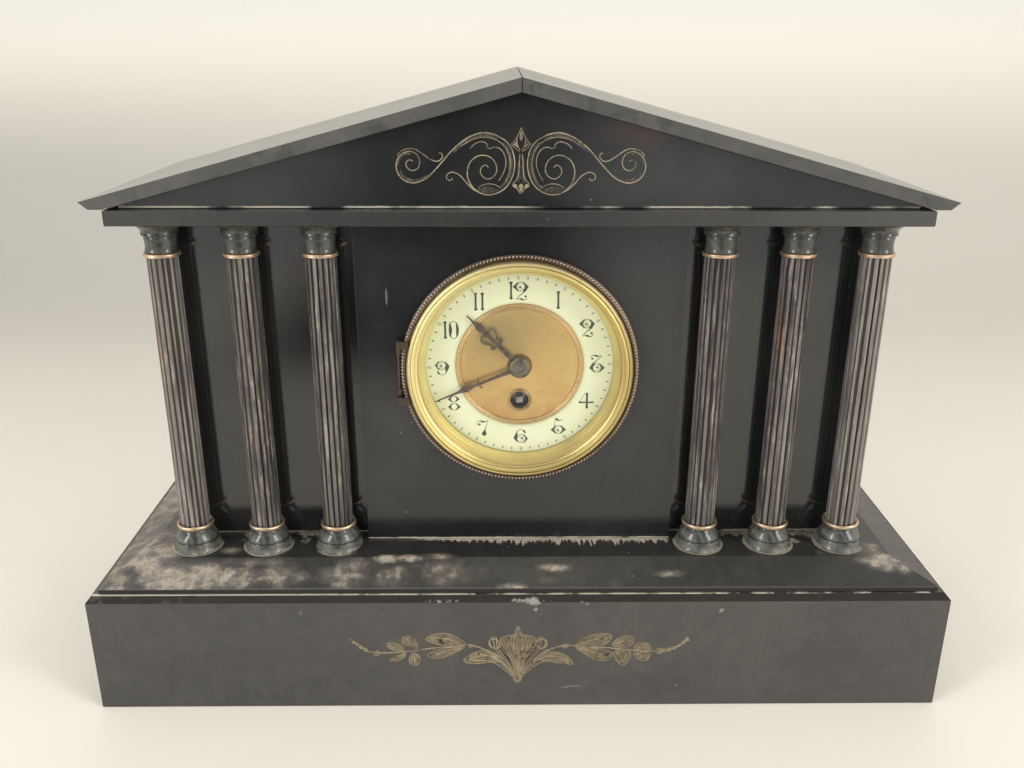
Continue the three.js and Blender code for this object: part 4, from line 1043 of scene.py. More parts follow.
class Pen:
    def __init__(self, shape, angle, radius, size, turn):
        self.shape = shape
        self.middle = (radius * math.sin(math.radians(angle)), radius * math.cos(math.radians(angle)))
        self.size = size
        self.turn = math.radians(turn)
        self.across = 0

    def place(self, x, y, height):
        x, y = (x + self.across) * self.size, y * self.size
        cosine, sine = math.cos(self.turn), math.sin(self.turn)
        return enamelPlace(
            self.middle[0] + x * cosine - y * sine, self.middle[1] + x * sine + y * cosine, height,
        )

    def shift(self, across):
        self.across = across

    def line(self, *points, closed=False):
        brush(self.shape, points, self.place, dialPrint["lift"], closed=closed, steps=4)

    def fill(self, *outline):
        patch(self.shape, outline, self.place, dialPrint["lift"] + 0.004)

    def spot(self, x, y, radius):
        dot(self.shape, x, y, radius, self.place, dialPrint["lift"] + 0.006)

    def bar(self, x):
        half = [(4.4, 0.2), (4.1, 1.3), (3.75, 1.8), (3.35, 1.15), (2.9, 0.98)]
        ends = [(x, -y, width) for y, width in half[::-1]]
        self.line(*[(x, y, width) for y, width in half], (x, 0, 0.95), *ends)

    def arc(self, x, y, radius, start, end, width):
        turns = [math.radians(start + (end - start) * i / 12) for i in range(13)]
        self.line(*[(x + radius * math.cos(t), y + radius * math.sin(t), width) for t in turns])

    def wedge(self, x, y, radius, tip, side):
        # filled corner between the ring and a point outside it
        turns = [math.radians(62 - 124 * i / 10) for i in range(11)]
        inner, outer = radius * 0.86, radius * 1.24
        arc = [(x + side * inner * math.cos(t), y + inner * math.sin(t)) for t in turns]
        wide, high = outer * math.cos(math.radians(60)), outer * math.sin(math.radians(60))
        self.fill(tip, (x + side * wide, y + high), *arc, (x + side * wide, y - high))

    def gem(self, x, y, radius, reach, heart=True):
        self.arc(x, y, radius, 0, 360, 0.26)
        for side in (1, -1):
            self.wedge(x, y, radius, (x + side * reach * 1.07, y - 0.05), side)
        if heart:
            self.arc(x, y, radius * 0.55, 60, 330, 0.14)
            self.spot(x - 0.2, y - 0.25, radius * 0.24)


two = [
    ("gem", 0, 1.85, 2.15, 3.6),
    ("line", (2.9, 1.3, 0.7), (2.2, 0.1, 0.85), (1.2, -1, 0.55), (0, -2.1, 0.36), (-1.1, -3.1, 0.3),
     (-1.9, -3.9, 0.3), (-1.8, -4.4, 0.26), (-1.2, -4.2, 0.26), (-0.4, -4, 0.6), (0.5, -4.3, 1),
     (1.4, -4.6, 0.45), (2.4, -4.4, 0.26), (3.1, -3.7, 0.26)),
    ("spot", 2.3, -2.9, 0.55),
]
nine = [
    ("arc", -0.45, 0.85, 2.1, 20, 340, 0.26),
    ("wedge", -0.45, 0.85, 2.1, (-3.6, 0.95), -1),
    ("arc", -0.45, 0.85, 1.25, 60, 330, 0.14),
    ("spot", -0.6, 0.65, 0.55),
    ("fill", (1.1, 3.1), (2.2, 2.3), (3.6, 0.5), (2.9, -1.2), (1.7, -3), (1.45, -1.6), (1.5, 0.2),
     (1.75, 1.3)),
    ("line", (2, -2.4, 0.5), (1.2, -3.5, 0.3), (0, -4, 0.24), (-1, -3.5, 0.3)),
    ("line", (-2.3, -1.9, 0.3), (-2.1, -2.4, 0.8), (-1.7, -3.1, 0.85), (-1.2, -3.7, 0.3)),
]
numerals = {
    # turn in degrees and strokes; a three is a two upside down, and a six is a nine
    1: (0, [("bar", 0)]),
    2: (0, two),
    3: (180, two),
    4: (0, [
        ("line", (0.3, 4.1, 1.4), (0.3, 3.5, 1.15), (0.3, 0, 0.98), (0.3, -3.4, 1.15),
         (0.3, -4.1, 1.45)),
        ("line", (-3.7, -0.9, 1.15), (-3.1, -0.9, 0.9), (0.3, -0.9, 0.7), (2.9, -0.9, 0.9),
         (3.5, -0.9, 1.3)),
        ("line", (-3, -0.5, 0.2), (-1.9, 1.7, 0.16), (-0.6, 3.9, 0.2)),
    ]),
    5: (0, [
        ("gem", 0, -1.4, 2.1, 3.6),
        ("line", (-1.9, 0.4, 0.24), (-1.7, 2.2, 0.2), (-1.4, 4, 0.24)),
        ("line", (-1.7, 4.5, 0.3), (-1.2, 4.3, 0.8), (-0.4, 3.8, 0.95), (0.3, 3.4, 0.5), (1.4, 3.6, 0.24),
         (2.5, 4.3, 0.18)),
    ]),
    6: (180, nine),
    7: (0, [
        ("spot", -1.5, 2.2, 0.55),
        ("line", (-1.7, 1.7, 0.24), (-2.6, 2, 0.24), (-2.8, 3, 0.24), (-2, 3.9, 0.26), (-1, 3.9, 0.5),
         (0.1, 3.5, 0.95), (1.1, 3.5, 0.4), (2, 3.8, 0.24), (2.9, 4.2, 0.2)),
        ("line", (2.4, 4, 0.2), (2.1, 2.6, 0.2), (1.6, 1, 0.24), (1.2, -0.4, 0.45), (0.9, -1.6, 1.1),
         (0.7, -2.8, 2.5), (0.6, -3.4, 1.7), (0.5, -4.2, 0.2)),
    ]),
    8: (0, [("gem", -0.1, 2.15, 1.55, 2.75, False), ("gem", 0.1, -1.9, 1.75, 2.95, False)]),
    9: (0, nine),
    10: (0, [
        ("bar", -2.8),
        ("line", (-0.5, 3.3, 0.6), (-0.45, 2.4, 0.95), (-0.3, 0, 1.6), (-0.45, -2.4, 0.95),
         (-0.5, -3.3, 0.6)),
        ("line", (2.8, 3.3, 0.6), (2.85, 2.4, 0.95), (3.05, 0, 1.35), (2.85, -2.4, 0.95),
         (2.8, -3.3, 0.6)),
        *[("line", (-0.5, 3.1 * side, 0.5), (0.3, 4 * side, 0.26), (1.2, 4.3 * side, 0.24),
           (2.1, 4 * side, 0.26), (2.8, 3.1 * side, 0.5)) for side in (1, -1)],
    ]),
    11: (0, [("bar", -1.6), ("bar", 1.6)]),
    12: (0, [("bar", -3.5), ("shift", 1.05), *two]),
}


def inkFinish():
    # fired ink, a little worn
    finish = Finish("dial ink")
    worn = finish.noise(420, 4, 0.7)
    colour = finish.mix(worn.above(0.3, 0.7), (0.040, 0.055, 0.050), (0.105, 0.125, 0.095))
    return finish.surface(colour, worn * 0.1 + 0.2)


def numeralMesh():
    shape = bmesh.new()
    for hour, (upset, strokes) in numerals.items():
        angle = hour * 30 - dialPrint["turn"]
        turn = upset + dialPrint["turn"] * 0.5
        pen = Pen(shape, angle, dialPrint["radius"], dialPrint["size"], turn)
        for stroke, *values in strokes:
            getattr(pen, stroke)(*values)
    return bake("numerals", shape, 40)


def markMesh():
    shape = bmesh.new()
    for minute in range(60):
        angle = minute * 6 - dialPrint["turn"]
        pen = Pen(shape, angle, dialPrint["marks"], 1, -angle)
        if minute % 5:
            pen.line((0, 0.6, 0.26), (0, 0.3, 0.46), (0, -0.05, 0.52), (0, -0.4, 0.36), (0, -0.7, 0.2))
        else:
            pen.line((0, 0.75, 0.2), (0.5, 0, 0.2), (0, -0.75, 0.2), (-0.5, 0, 0.2), closed=True)
            pen.line((0, 1.25, 0.12), (0, 0.95, 0.14), (0, 0.7, 0.16))
    return bake("minute marks", shape, 40)


dialInk = inkFinish()
piece("numerals", numeralMesh(), "case", dialInk)
piece("minute_marks", markMesh(), "case", dialInk)
print("numerals printed")


def panFinish():
    # thin gilding, brushed, redder where it is rubbed through low down and greener at the upper left
    finish = Finish("gilt pan")
    cloud = finish.noise(46, 5, 0.62, warp=0.8)
    grain = finish.noise(260, 4, 0.6, finish.stretched((1, 1, 0.12), (0, 0.5, 0)))
    spots = finish.noise(420, 4, 0.7)
    low = (finish.z * -1).above(-0.160, -0.128) * cloud.above(0.35, 0.6)
    green = finish.away((-0.010, 0, 0.171), (1, 0, 1)).below(0.002, 0.020)
    colour = finish.coats(
        (0.80, 0.58, 0.24), (cloud.above(0.3, 0.7), (0.74, 0.50, 0.19)),
        (green * 0.55, (0.56, 0.45, 0.19)), (low * 0.7, (0.64, 0.36, 0.16)),
        (spots.above(0.64, 0.74) * 0.45, (0.22, 0.12, 0.05)),
    )
    height = grain * 1.5 + finish.noise(1300, 2) + spots
    return finish.surface(colour, cloud * 0.12 + grain * 0.14 + 0.26, (height, 0.00004, 0.35), 0.8)


winding = {"below": 17.2, "bore": [(0, 40), (4.35, 40), (4.35, 50), (0, 50)]}


def windingPlace(radius, angle, depth):
    height = dialHeight - winding["below"] + radius * math.cos(angle)
    return at(radius * math.sin(angle), depth, height)


def boreWindingHole(pan):
    hole = link("winding hole", lathe("winding hole", winding["bore"], 48, windingPlace, False))
    bore = pan.modifiers.new("bore", "BOOLEAN")
    bore.operation = "DIFFERENCE"
    bore.object = hole
    bore.solver = "EXACT"
    bpy.context.view_layer.objects.active = pan
    bpy.ops.object.modifier_apply(modifier="bore")
    bpy.data.objects.remove(hole)
    pan.data.set_sharp_from_angle(angle=math.radians(sharpAngle))


rimGilt = giltFinish("gilt rim", (0.82, 0.62, 0.34), (0.62, 0.43, 0.22), 0.16, 0.22, 0.04)
eyeletGilt = giltFinish("eyelet gilt", (0.58, 0.42, 0.20), (0.27, 0.175, 0.09), 0.7, 0.3, 0.1)
giltPan = {
    "outline": [
        (3.0, 43.9), (5.5, 43.85), (5.7, 43.45), (6.0, 43.45), (6.2, 43.85), (25.6, 43.82),
        (25.75, 43.9), (25.9, 43.82), (27.0, 43.82), (27.5, 44.1), (48.0, 44.8), (48.0, 46.2),
        (3.0, 46.2),
    ],
    "soft": 0.1, "steps": 2, "sides": 160,
}
panRim = {
    "outline": [
        (27.6, 43.9), (27.75, 43.45), (28.05, 43.15), (28.3, 43.2), (28.45, 43.55), (28.75, 43.55),
        (28.9, 43.2), (29.25, 43.1), (29.6, 43.4), (29.7, 43.9), (29.72, 44.3), (27.6, 44.4),
    ],
    "soft": 0.12, "steps": 3, "sides": 180,
}
windingEyelet = {
    "outline": [
        (4.3, 45.9), (4.3, 43.5), (4.5, 43.2), (4.85, 43.1), (5.1, 43.3), (5.2, 43.65), (5.35, 43.8),
        (5.55, 43.68), (5.8, 43.72), (5.9, 44.2), (4.9, 44.3), (4.9, 45.9),
    ],
    "soft": 0.1, "steps": 2, "sides": 64,
}
boreWindingHole(turnedPiece("gilt_pan", giltPan, "case", panFinish(), ["dial_pan"]))
turnedPiece("pan_rim", panRim, "case", rimGilt)
turnedPiece("winding_eyelet", windingEyelet, "case", eyeletGilt, point=windingPlace)
print("dial set")

# Hands: flat blades sawn out of blued steel, the colour rubbed to brown
hands = {
    "thick": 0.7, "crown": 0.12,
    "hour": {
        "angle": 315.3, "front": 41.75, "body": "hour_pipe",
        "blade": [
            (0, 0, 5), (4, 0, 2.7), (9, 0, 1.9), (13.6, 0, 1.5), (14.4, 0, 1.6), (14.8, 0, 3.4),
            (15.2, 0, 1.7), (17, 0, 1.15), (20, 0, 1.2), (21.2, 0, 1.7), (21.7, 0, 2.5),
            (22.3, 0, 1.7), (23, 0, 1.4), (24.6, 0, 2.3), (26.3, 0, 3.3), (27.6, 0, 2.8),
            (29.4, 0, 1.5), (31.4, 0, 0.85), (33.6, 0, 0.62), (34.8, 0, 0.4),
        ],
        "curl": [
            (21.2, 0.6, 0.9), (22.2, 1.7, 0.85), (22.3, 3, 0.82), (21.2, 3.9, 0.86), (19.6, 3.8, 0.86),
            (18.2, 2.9, 0.8), (17, 2.35, 0.78), (15.9, 2.6, 0.8), (15.2, 3, 0.95), (14.6, 2.5, 0.85),
            (14.6, 1.6, 0.78),
        ],
        # along, aside, radius and height of round ends
        "rounds": [(15.3, 3, 0.6, 0.02), (15.3, -3, 0.6, 0.02), (0, 0, 4.1, 0.04)],
    },
    "minute": {
        "angle": 246.8, "front": 40.45, "body": "minute_arbor",
        "blade": [
            (0, 0, 4.4), (4, 0, 2.7), (8, 0, 1.8), (13, 0, 1.45), (18.6, 0, 1.2), (19.8, 0, 1.3),
            (20.6, 0, 2.1), (21.4, 0, 1.4), (22.2, 0, 1.15), (24, 0, 1.7), (26.6, 0, 2.9),
            (28, 0, 2.7), (30.5, 0, 1.5), (33, 0, 0.95), (38, 0, 0.66), (43.2, 0, 0.34),
        ],
        "curl": [(20.2, 0.3, 0.9), (20.7, 1, 0.6), (20.5, 1.7, 0.55), (20.1, 2.1, 0.75), (19.8, 2.3, 0.4)],
        "rounds": [],
    },
}


def steelFinish(name, dark, light, rough, metal):
    finish = Finish(name)
    cloud = finish.noise(220, 4, 0.6, warp=0.6)
    colour = finish.mix(cloud.above(0.35, 0.7), dark, light)
    bump = (finish.noise(1800, 2) + cloud, 0.00004, 0.4)
    return finish.surface(colour, cloud * 0.2 + rough, bump, metal)


def handMesh(look):
    angle = math.radians(look["angle"])
    cosine, sine = math.cos(angle), math.sin(angle)
    crown = hands["crown"]
    sink = hands["thick"] - crown
    shape = bmesh.new()

    def place(reach, side, height):
        x, z = reach * sine + side * cosine, reach * cosine - side * sine
        return at(x, look["front"] + crown - height, dialHeight + z)

    curls = [[(x, y * side, width) for x, y, width in look["curl"]] for side in (1, -1)]
    for line in (look["blade"], *curls):
        brush(shape, line, place, 0.0, sink, crown)
    for x, y, radius, height in look["rounds"]:
        dot(shape, x, y, radius, place, height, sink)
    return bake("hand", shape, 30)


handCollet = {
    "outline": [
        (0, 37.85), (0.9, 37.95), (1.35, 38.3), (1.45, 38.85), (2.0, 38.7), (2.6, 38.75), (2.75, 39.1),
        (3.3, 39.1), (3.5, 38.95), (4.2, 39.15), (4.85, 39.7), (5.05, 40.3), (4.9, 40.5), (5.0, 41.15),
        (3.0, 41.15), (3.0, 41.7), (0, 41.7),
    ],
    "soft": 0.14, "steps": 3, "sides": 72,
}
handSteel = steelFinish("hand steel", (0.085, 0.062, 0.049), (0.215, 0.165, 0.130), 0.36, 0.6)
hubSteel = steelFinish("hub steel", (0.085, 0.076, 0.062), (0.26, 0.235, 0.19), 0.2, 0.85)
for hand in ("hour", "minute"):
    body = hands[hand]["body"]
    piece(hand + "_blade", handMesh(hands[hand]), body, handSteel, [hand + "_hand"])
turnedPiece("hand_collet", handCollet, "minute_arbor", hubSteel)
print("hands laid on")

# Movement and rear door: the material of each slot and the nodes that have it
movementEdge = 0.07
bodies = {name: body for body, names in frame["record"]["behaviour"]["bodies"].items() for name in names}
movement = {
    "train_brass": (brassFinish("train brass", (0.70, 0.52, 0.19), (0.45, 0.31, 0.12), 0.35, 0.24), [
        "front_plate", "back_plate", "barrel", "intermediate_wheel", "centre_wheel", "third_wheel",
        "escape_wheel", "back_cock", "pendulum_bob", "minute_wheel", "hour_wheel", "rear_ring", "rear_door",
    ]),
    "train_steel": (steelFinish("train steel", (0.22, 0.225, 0.23), (0.42, 0.42, 0.41), 0.24, 0.85), [
        "winding_arbor", "click", "pallets", "pendulum_rod", "cannon_pinion", "strap_left", "strap_right",
    ]),
    "dark_bronze": (hingeBronze, ["bezel_hinge_pin"]),
}
for slot, (material, names) in movement.items():
    for node in names:
        mesh = copied(node, movementEdge)
        piece("works_" + node, mesh, bodies[node], material, [node])
print("movement dressed")


# Incised and gilded ornament in millimetres across and up; lines also have a width
gableScroll = {
    # the right half
    "lines": [
        [(8.9, 263.7, 0.5), (6.3, 262.1, 0.8), (3.9, 258.9, 0.9), (2.7, 254.1, 0.9), (3.1, 249.3, 0.9),
         (5, 244.8, 0.9), (8.1, 241.8, 0.9), (12.3, 240.2, 0.9), (16.5, 240.6, 0.9), (19.9, 242.9, 0.9),
         (22, 246.3, 0.85), (22.4, 250, 0.85), (21.3, 253.4, 0.8), (18.9, 255.6, 0.8),
         (16.2, 256.4, 0.75), (13.2, 255.8, 0.75), (11, 253.8, 0.7), (10.1, 250.8, 0.7),
         (11, 248.2, 0.7), (13.5, 246.7, 0.65), (15.8, 247.5, 0.6), (17, 249.5, 0.6),
         (16.4, 251.5, 0.6), (14.8, 252.4, 0.6), (13.6, 251.4, 0.7)],
        [(8.9, 263.7, 0.4), (11.5, 264.9, 0.8), (16, 265.5, 0.95), (20.5, 264.2, 0.95),
         (24.7, 261.7, 0.95), (28.6, 258.4, 0.9), (32.1, 254.5, 0.9), (36.1, 250.1, 0.85),
         (40, 246.7, 0.85), (45, 245, 0.9), (49.2, 246.3, 0.9), (51.5, 249.3, 0.85), (51.9, 252.7, 0.8),
         (50.6, 255.8, 0.8), (48.2, 257.5, 0.75), (45.7, 257.9, 0.7), (43.2, 256.6, 0.7),
         (42.1, 253.8, 0.65), (42.9, 251.2, 0.65), (45.3, 250.1, 0.6), (47.3, 251.2, 0.6),
         (47.9, 253, 0.6), (46.5, 254.5, 0.6), (45, 254, 0.7)],
        [(24.4, 260.3, 0.35), (20.6, 262.6, 0.45), (16, 263.7, 0.5), (11.9, 263.2, 0.5),
         (8.6, 261.6, 0.5), (5.9, 258.6, 0.5), (4.5, 254.3, 0.45), (4.8, 249.7, 0.4), (6.4, 245.7, 0.3)],
        [(34.1, 257.3, 0.5), (32.9, 257, 0.6), (32.8, 255.3, 0.7), (34.8, 253.9, 0.75),
         (37.8, 254.8, 0.75), (41.1, 257.1, 0.7), (44.2, 258.9, 0.65), (47.4, 258.9, 0.55),
         (49.8, 257.9, 0.45), (51.4, 256.2, 0.3)],
        [(16.5, 240.6, 0.5), (19.9, 242.3, 0.75), (22.9, 245.2, 0.8), (25.6, 248.2, 0.8),
         (28.6, 249.5, 0.75), (30.8, 248.5, 0.7), (31, 246.7, 0.6), (29.4, 246.1, 0.6),
         (28.6, 247, 0.6)],
        [(9.3, 245.9, 0.3), (7.3, 249.3, 0.5), (6.3, 253, 0.6), (6.9, 256.6, 0.65), (8.6, 258.9, 0.65),
         (10.9, 259.7, 0.6), (13, 259.1, 0.5), (14.4, 260, 0.35)],
        [(13.7, 260.3, 0.4), (15, 261.6, 0.6), (17, 261.8, 0.6), (19.3, 260.9, 0.5), (21.1, 259.1, 0.3)],
        [(8.6, 242.9, 0.3), (10.7, 244.2, 0.5), (13.4, 244.7, 0.6), (16.1, 244.2, 0.5),
         (18.2, 242.9, 0.3)],
        [(0.5, 257.1, 0.5), (0.8, 252.6, 0.6), (1.1, 248.2, 0.6), (2, 246.3, 0.6), (3.4, 244.9, 0.5)],
        [(0, 267.6, 0.3), (0.9, 265.3, 0.6), (1.9, 263.1, 0.7), (1.6, 260.7, 0.6), (0.4, 258.4, 0.5)],
        [(0.6, 258, 0.5), (2.2, 259, 0.6), (4, 260.9, 0.5), (2.9, 261.9, 0.4), (2.4, 263.2, 0.3)],
        [(3.4, 244.9, 0.5), (2.2, 244.1, 0.6), (1.4, 242.4, 0.6), (0.2, 240.7, 0.4)],
    ],
    "fills": [
        [(0, 266.4), (0.5, 265), (0.7, 263.4), (0.2, 262.4), (0, 262.2)],
        [(1.5, 262.6), (2.6, 261.4), (3.6, 260.8), (2.6, 260.3), (1.3, 259.4), (1.6, 260.8)],
        [(0, 244.8), (0.9, 244.2), (0.9, 243), (0.5, 241.8), (0, 241.4)],
        [(2, 244.6), (3.8, 244.2), (3, 243.2), (1.7, 242.6), (1.5, 243.6)],
    ],
    "bands": [
        [(7.6, 261.6, 0.8), (5.6, 258.6, 1.6), (4.4, 254, 1.8), (4.7, 249.3, 1.7), (6.4, 245.4, 1.4),
         (9, 242.8, 1)],
        [(9.4, 263.2, 0.6), (12, 264, 1.4), (16, 264.6, 1.8), (20.4, 263.3, 1.8), (24.4, 260.8, 1.4),
         (28, 257.8, 0.9)],
        [(9.4, 241.9, 0.6), (12.6, 242.2, 2.6), (15.4, 242.2, 2.6), (18.2, 242.4, 0.6)],
        [(38.6, 248.4, 0.5), (42.4, 246.2, 1.4), (45.8, 245.9, 1.7), (49, 247.4, 1.3),
         (50.6, 250.2, 0.6)],
        [(0.4, 256.6, 1.2), (0.6, 252, 1.6), (0.9, 247.6, 1.8), (1.8, 245.4, 1.6)],
        [(45.6, 257, 0.5), (48.8, 256.8, 1.2), (50.8, 254.6, 1.2), (51.2, 252, 0.5)],
    ],
    "thin": 0.54, "depth": 26, "middle": -0.2,
}
leafSpray = {
    "depth": cutDepth, "middle": -1.0,
    # leaves and buds as outlines
    "leaves": [
        [(0.1, 24.5), (-3.2, 26.8), (-6.2, 30.2), (-8.2, 34.4), (-7.8, 38.2), (-3.9, 39.4),
         (-1.6, 39.2), (-1.2, 41.4), (0.1, 44.4), (1.4, 41.2), (1.8, 39.2), (4.4, 39.6), (8, 38),
         (8.4, 34.2), (6.3, 30), (3.4, 26.8)],
        [(-7.2, 25.6), (-10.6, 29.4), (-14.5, 31.2), (-17.6, 31), (-21.9, 29.2), (-25.6, 25.4),
         (-20.6, 23.8), (-13.9, 24.6)],
        [(9.4, 26.6), (12.6, 29.3), (16.5, 30.2), (20, 29.8), (23.8, 27.3), (26.2, 23.4), (21.3, 23.9),
         (15.1, 24.9)],
        [(-24.4, 34.1), (-28.2, 38.3), (-33.7, 40.7), (-39.2, 40.2), (-43.1, 37.5), (-39.3, 35.5),
         (-32.7, 33.6)],
        [(-25, 33.1), (-30.5, 33), (-38.3, 31.6), (-42.6, 28.3), (-37.3, 26.9), (-30.6, 29.6)],
        [(27.2, 33.9), (31.5, 38), (36.9, 40.1), (43.6, 39.7), (43, 36.2), (39.4, 33.8), (32.7, 33.2)],
        [(27.2, 32.8), (32.7, 32.5), (39.4, 31.6), (44, 29.6), (43, 25.8), (37.4, 25.6), (31.7, 29.2)],
        [(-47.2, 32.3), (-49.9, 33.6), (-53.7, 35), (-54.1, 38.2), (-51.3, 39.2), (-48.3, 37.5)],
        [(-53.9, 30.5), (-57.2, 31.2), (-60.6, 33), (-60.9, 35.4), (-57, 35.4), (-53.8, 33)],
        [(-48.3, 29.9), (-46.2, 27.7), (-46.9, 23.9), (-50.2, 23.4), (-51.4, 26.4), (-50, 29.2)],
        [(-52.8, 29.9), (-56.7, 28.4), (-60.7, 26.1), (-56.3, 25.7), (-53.4, 27.7)],
        [(44.4, 33.8), (46.5, 37), (50.3, 39), (54.2, 37.9), (53.8, 34.4), (50, 32.6)],
        [(45, 31.8), (45.8, 27.2), (49.3, 22.5), (52.5, 25.1), (53.1, 29.8), (50, 31.4)],
        [(55.1, 31.3), (56, 34.4), (59.9, 35), (62.5, 33), (61.8, 30.9)],
        [(55.1, 29.6), (56.4, 26.4), (60.4, 25.1), (62.2, 27.1), (61.8, 29.5)],
    ],
    "stalks": [
        [(-0.5, 13.6, 0.9), (-2.6, 18.6, 0.9), (-6, 23, 0.8), (-11.7, 28.6, 0.6), (-17.2, 32.6, 0.7),
         (-23.3, 34.2, 0.8), (-28.3, 34.2, 0.5)],
        [(0.6, 13.6, 0.9), (3.4, 20.4, 0.9), (8, 25.6, 0.8), (13.9, 30.8, 0.6), (20, 33.4, 0.8),
         (26.6, 33.9, 0.6)],
        [(-7.9, 34.1, 0.5), (-10.6, 32.2, 0.7), (-13.2, 34.1, 0.7), (-13, 36.9, 0.6),
         (-10.7, 37.6, 0.6), (-9.4, 36.2, 0.6)],
        [(8.3, 34, 0.5), (11.1, 32.1, 0.7), (13.5, 33.9, 0.7), (13.2, 36.7, 0.6), (11, 37.5, 0.6),
         (9.8, 36.1, 0.6)],
        [(-26.1, 33.7, 0.5), (-32.7, 33.2, 0.6), (-40.5, 32.6, 0.6), (-48.3, 31.2, 0.6),
         (-56.1, 30.4, 0.6), (-64.4, 30.1, 0.6), (-69.4, 30.6, 0.5), (-71.5, 31.8, 0.5),
         (-74.2, 34.4, 0.5), (-76.8, 36.4, 0.45), (-79.1, 38.1, 0.3)],
        [(26.6, 33.4, 0.5), (33.9, 32.8, 0.6), (42.8, 32.4, 0.6), (51.7, 31.4, 0.6), (59.6, 30.4, 0.6),
         (65.1, 30.4, 0.6), (69.6, 30.8, 0.5), (74, 32.2, 0.5), (77.7, 35.1, 0.45), (80.1, 37.5, 0.3)],
        [(-9.6, 26.6, 0.4), (-14.5, 28.2, 0.5), (-19.5, 27.6, 0.45), (-24, 25.8, 0.2)],
        [(11, 27, 0.4), (15.5, 27.8, 0.5), (20, 27, 0.45), (24.6, 24.6, 0.2)],
        [(-25.4, 34.2, 0.3), (-30.6, 36.6, 0.45), (-36.4, 38.2, 0.4), (-42, 37.8, 0.2)],
        [(-26, 32.6, 0.3), (-32, 31.4, 0.45), (-37.6, 29.4, 0.4), (-41.6, 28.2, 0.2)],
        [(28, 34.2, 0.3), (33.2, 36.2, 0.45), (38.4, 37.4, 0.4), (42.8, 38.6, 0.2)],
        [(28, 32.4, 0.3), (33.6, 30.8, 0.45), (38.6, 28.8, 0.4), (42.6, 27, 0.2)],
        [(-48, 33.4, 0.25), (-50.4, 35.6, 0.4), (-52.4, 37.8, 0.2)],
        [(-54.6, 31.6, 0.2), (-57.4, 32.8, 0.35), (-60, 34.6, 0.2)],
        [(-48.6, 29, 0.25), (-48.6, 26.6, 0.4), (-48.8, 24.4, 0.2)],
        [(45.6, 34.2, 0.25), (49.4, 35.8, 0.4), (53.2, 36.6, 0.2)],
        [(46.2, 30.6, 0.25), (48.6, 27.4, 0.4), (50, 24.2, 0.2)],
        [(56, 31.8, 0.2), (58.6, 32.8, 0.35), (61.2, 32.6, 0.2)],
        [(56, 29.2, 0.2), (58.6, 27.8, 0.35), (60.8, 26.6, 0.2)],
    ],
    "dark": [
        [(-1.8, 22.2, 0.8), (-4, 26.2, 1.3), (-6.4, 30.2, 1.4), (-8.4, 34.8, 0.9)],
        [(2.2, 22.2, 0.8), (4.6, 26.2, 1.3), (7.2, 30.2, 1.4), (9.3, 34.8, 0.9)],
    ],
    # across, up and radius
    "berries": [
        (-66.6, 29.9, 1.45), (-71.5, 32, 0.95), (-73.6, 33.2, 0.75), (-75.3, 34.6, 0.6),
        (-76.9, 36, 0.5), (66.6, 30.5, 1.5), (69, 30.9, 1), (71.5, 31.4, 0.95), (73.8, 32.2, 0.9),
        (75.9, 33.7, 0.85), (77.7, 35.1, 0.85), (79.6, 36.9, 1), (-0.2, 15, 1.9), (22.4, 33.6, 1.2),
        (-22, 33.8, 0.9),
    ],
    # tops of the fine lines that fan out of the foot
    "spread": [
        (-7.6, 35), (-6.9, 37.6), (-5.4, 38.8), (-3.6, 38.9), (-2.2, 39.6), (-0.9, 41), (0.2, 43.6),
        (1.2, 41), (2.4, 39.4), (3.9, 39), (5.6, 38.9), (7, 37.4), (7.8, 35),
    ],
    # the sheaf on the right of it, mirrored on the left
    "bundle": [
        [(0.8, 15.2), (5, 20.6), (9.6, 25.6), (14.6, 28.6), (20, 29.4)],
        [(0.6, 15.8), (4.4, 21.6), (8.8, 27.2), (12.4, 30.6), (17, 32.2)],
        [(0.5, 16.6), (3.8, 22.4), (8, 28.6), (10.4, 32), (11.4, 37.8)],
        [(0.4, 17.2), (3.4, 23), (7.4, 29.6), (9.6, 33.4), (9.7, 38.4)],
        [(0.9, 14.6), (5.4, 19.6), (10.2, 23.9), (15.4, 25.6), (21.4, 25.4)],
        [(8.2, 33), (9, 36), (10.6, 38.6), (12.4, 37.6), (13.2, 34.6), (11.8, 32.4)],
    ],
}


def ornamentPlace(look):
    def place(x, z, height):
        return at(look["middle"] + x, look["depth"] - height, z)
    return place


def mirrored(points, side):
    return [(point[0] * side, *point[1:]) for point in points]


def ornamentFinish(name, bright, dull, worn):
    # dull gilding in shallow cuts, lost in places
    finish = Finish(name)
    cloud = finish.noise(120, 5, 0.7, warp=0.6)
    loss = finish.noise(340, 5, 0.75)
    colour = finish.coats(
        bright, (cloud.above(0.3, 0.7), dull), (loss.above(0.62 - worn * 0.16, 0.70), (0.030, 0.026, 0.020)),
    )
    return finish.surface(colour, cloud * 0.2 + 0.36, (loss + cloud, 0.00006, 0.5), 0.5)


def hatchFinish():
    # fine cuts across the bands, only partly filled with dull gold
    finish = Finish("hatched band")
    cuts = finish.noise(900, 3, 0.7, finish.stretched((1, 1, 0.25), (0, 0.6, 0)))
    filled = cuts.above(0.45, 0.65) * finish.noise(90, 4, 0.7).above(0.3, 0.6)
    colour = finish.mix(filled, (0.024, 0.022, 0.020), (0.105, 0.085, 0.058))
    return finish.surface(colour, cuts * 0.2 + 0.4, (cuts, 0.00005, 0.5))


def scrollMesh(shape, place):
    for side in (1, -1):
        for line in gableScroll["lines"]:
            thin = [(x, z, width * gableScroll["thin"]) for x, z, width in line]
            brush(shape, mirrored(thin, side), place, 0.03, crown=0.05, steps=4)
        for outline in gableScroll["fills"]:
            patch(shape, mirrored(outline, side), place, 0.04)


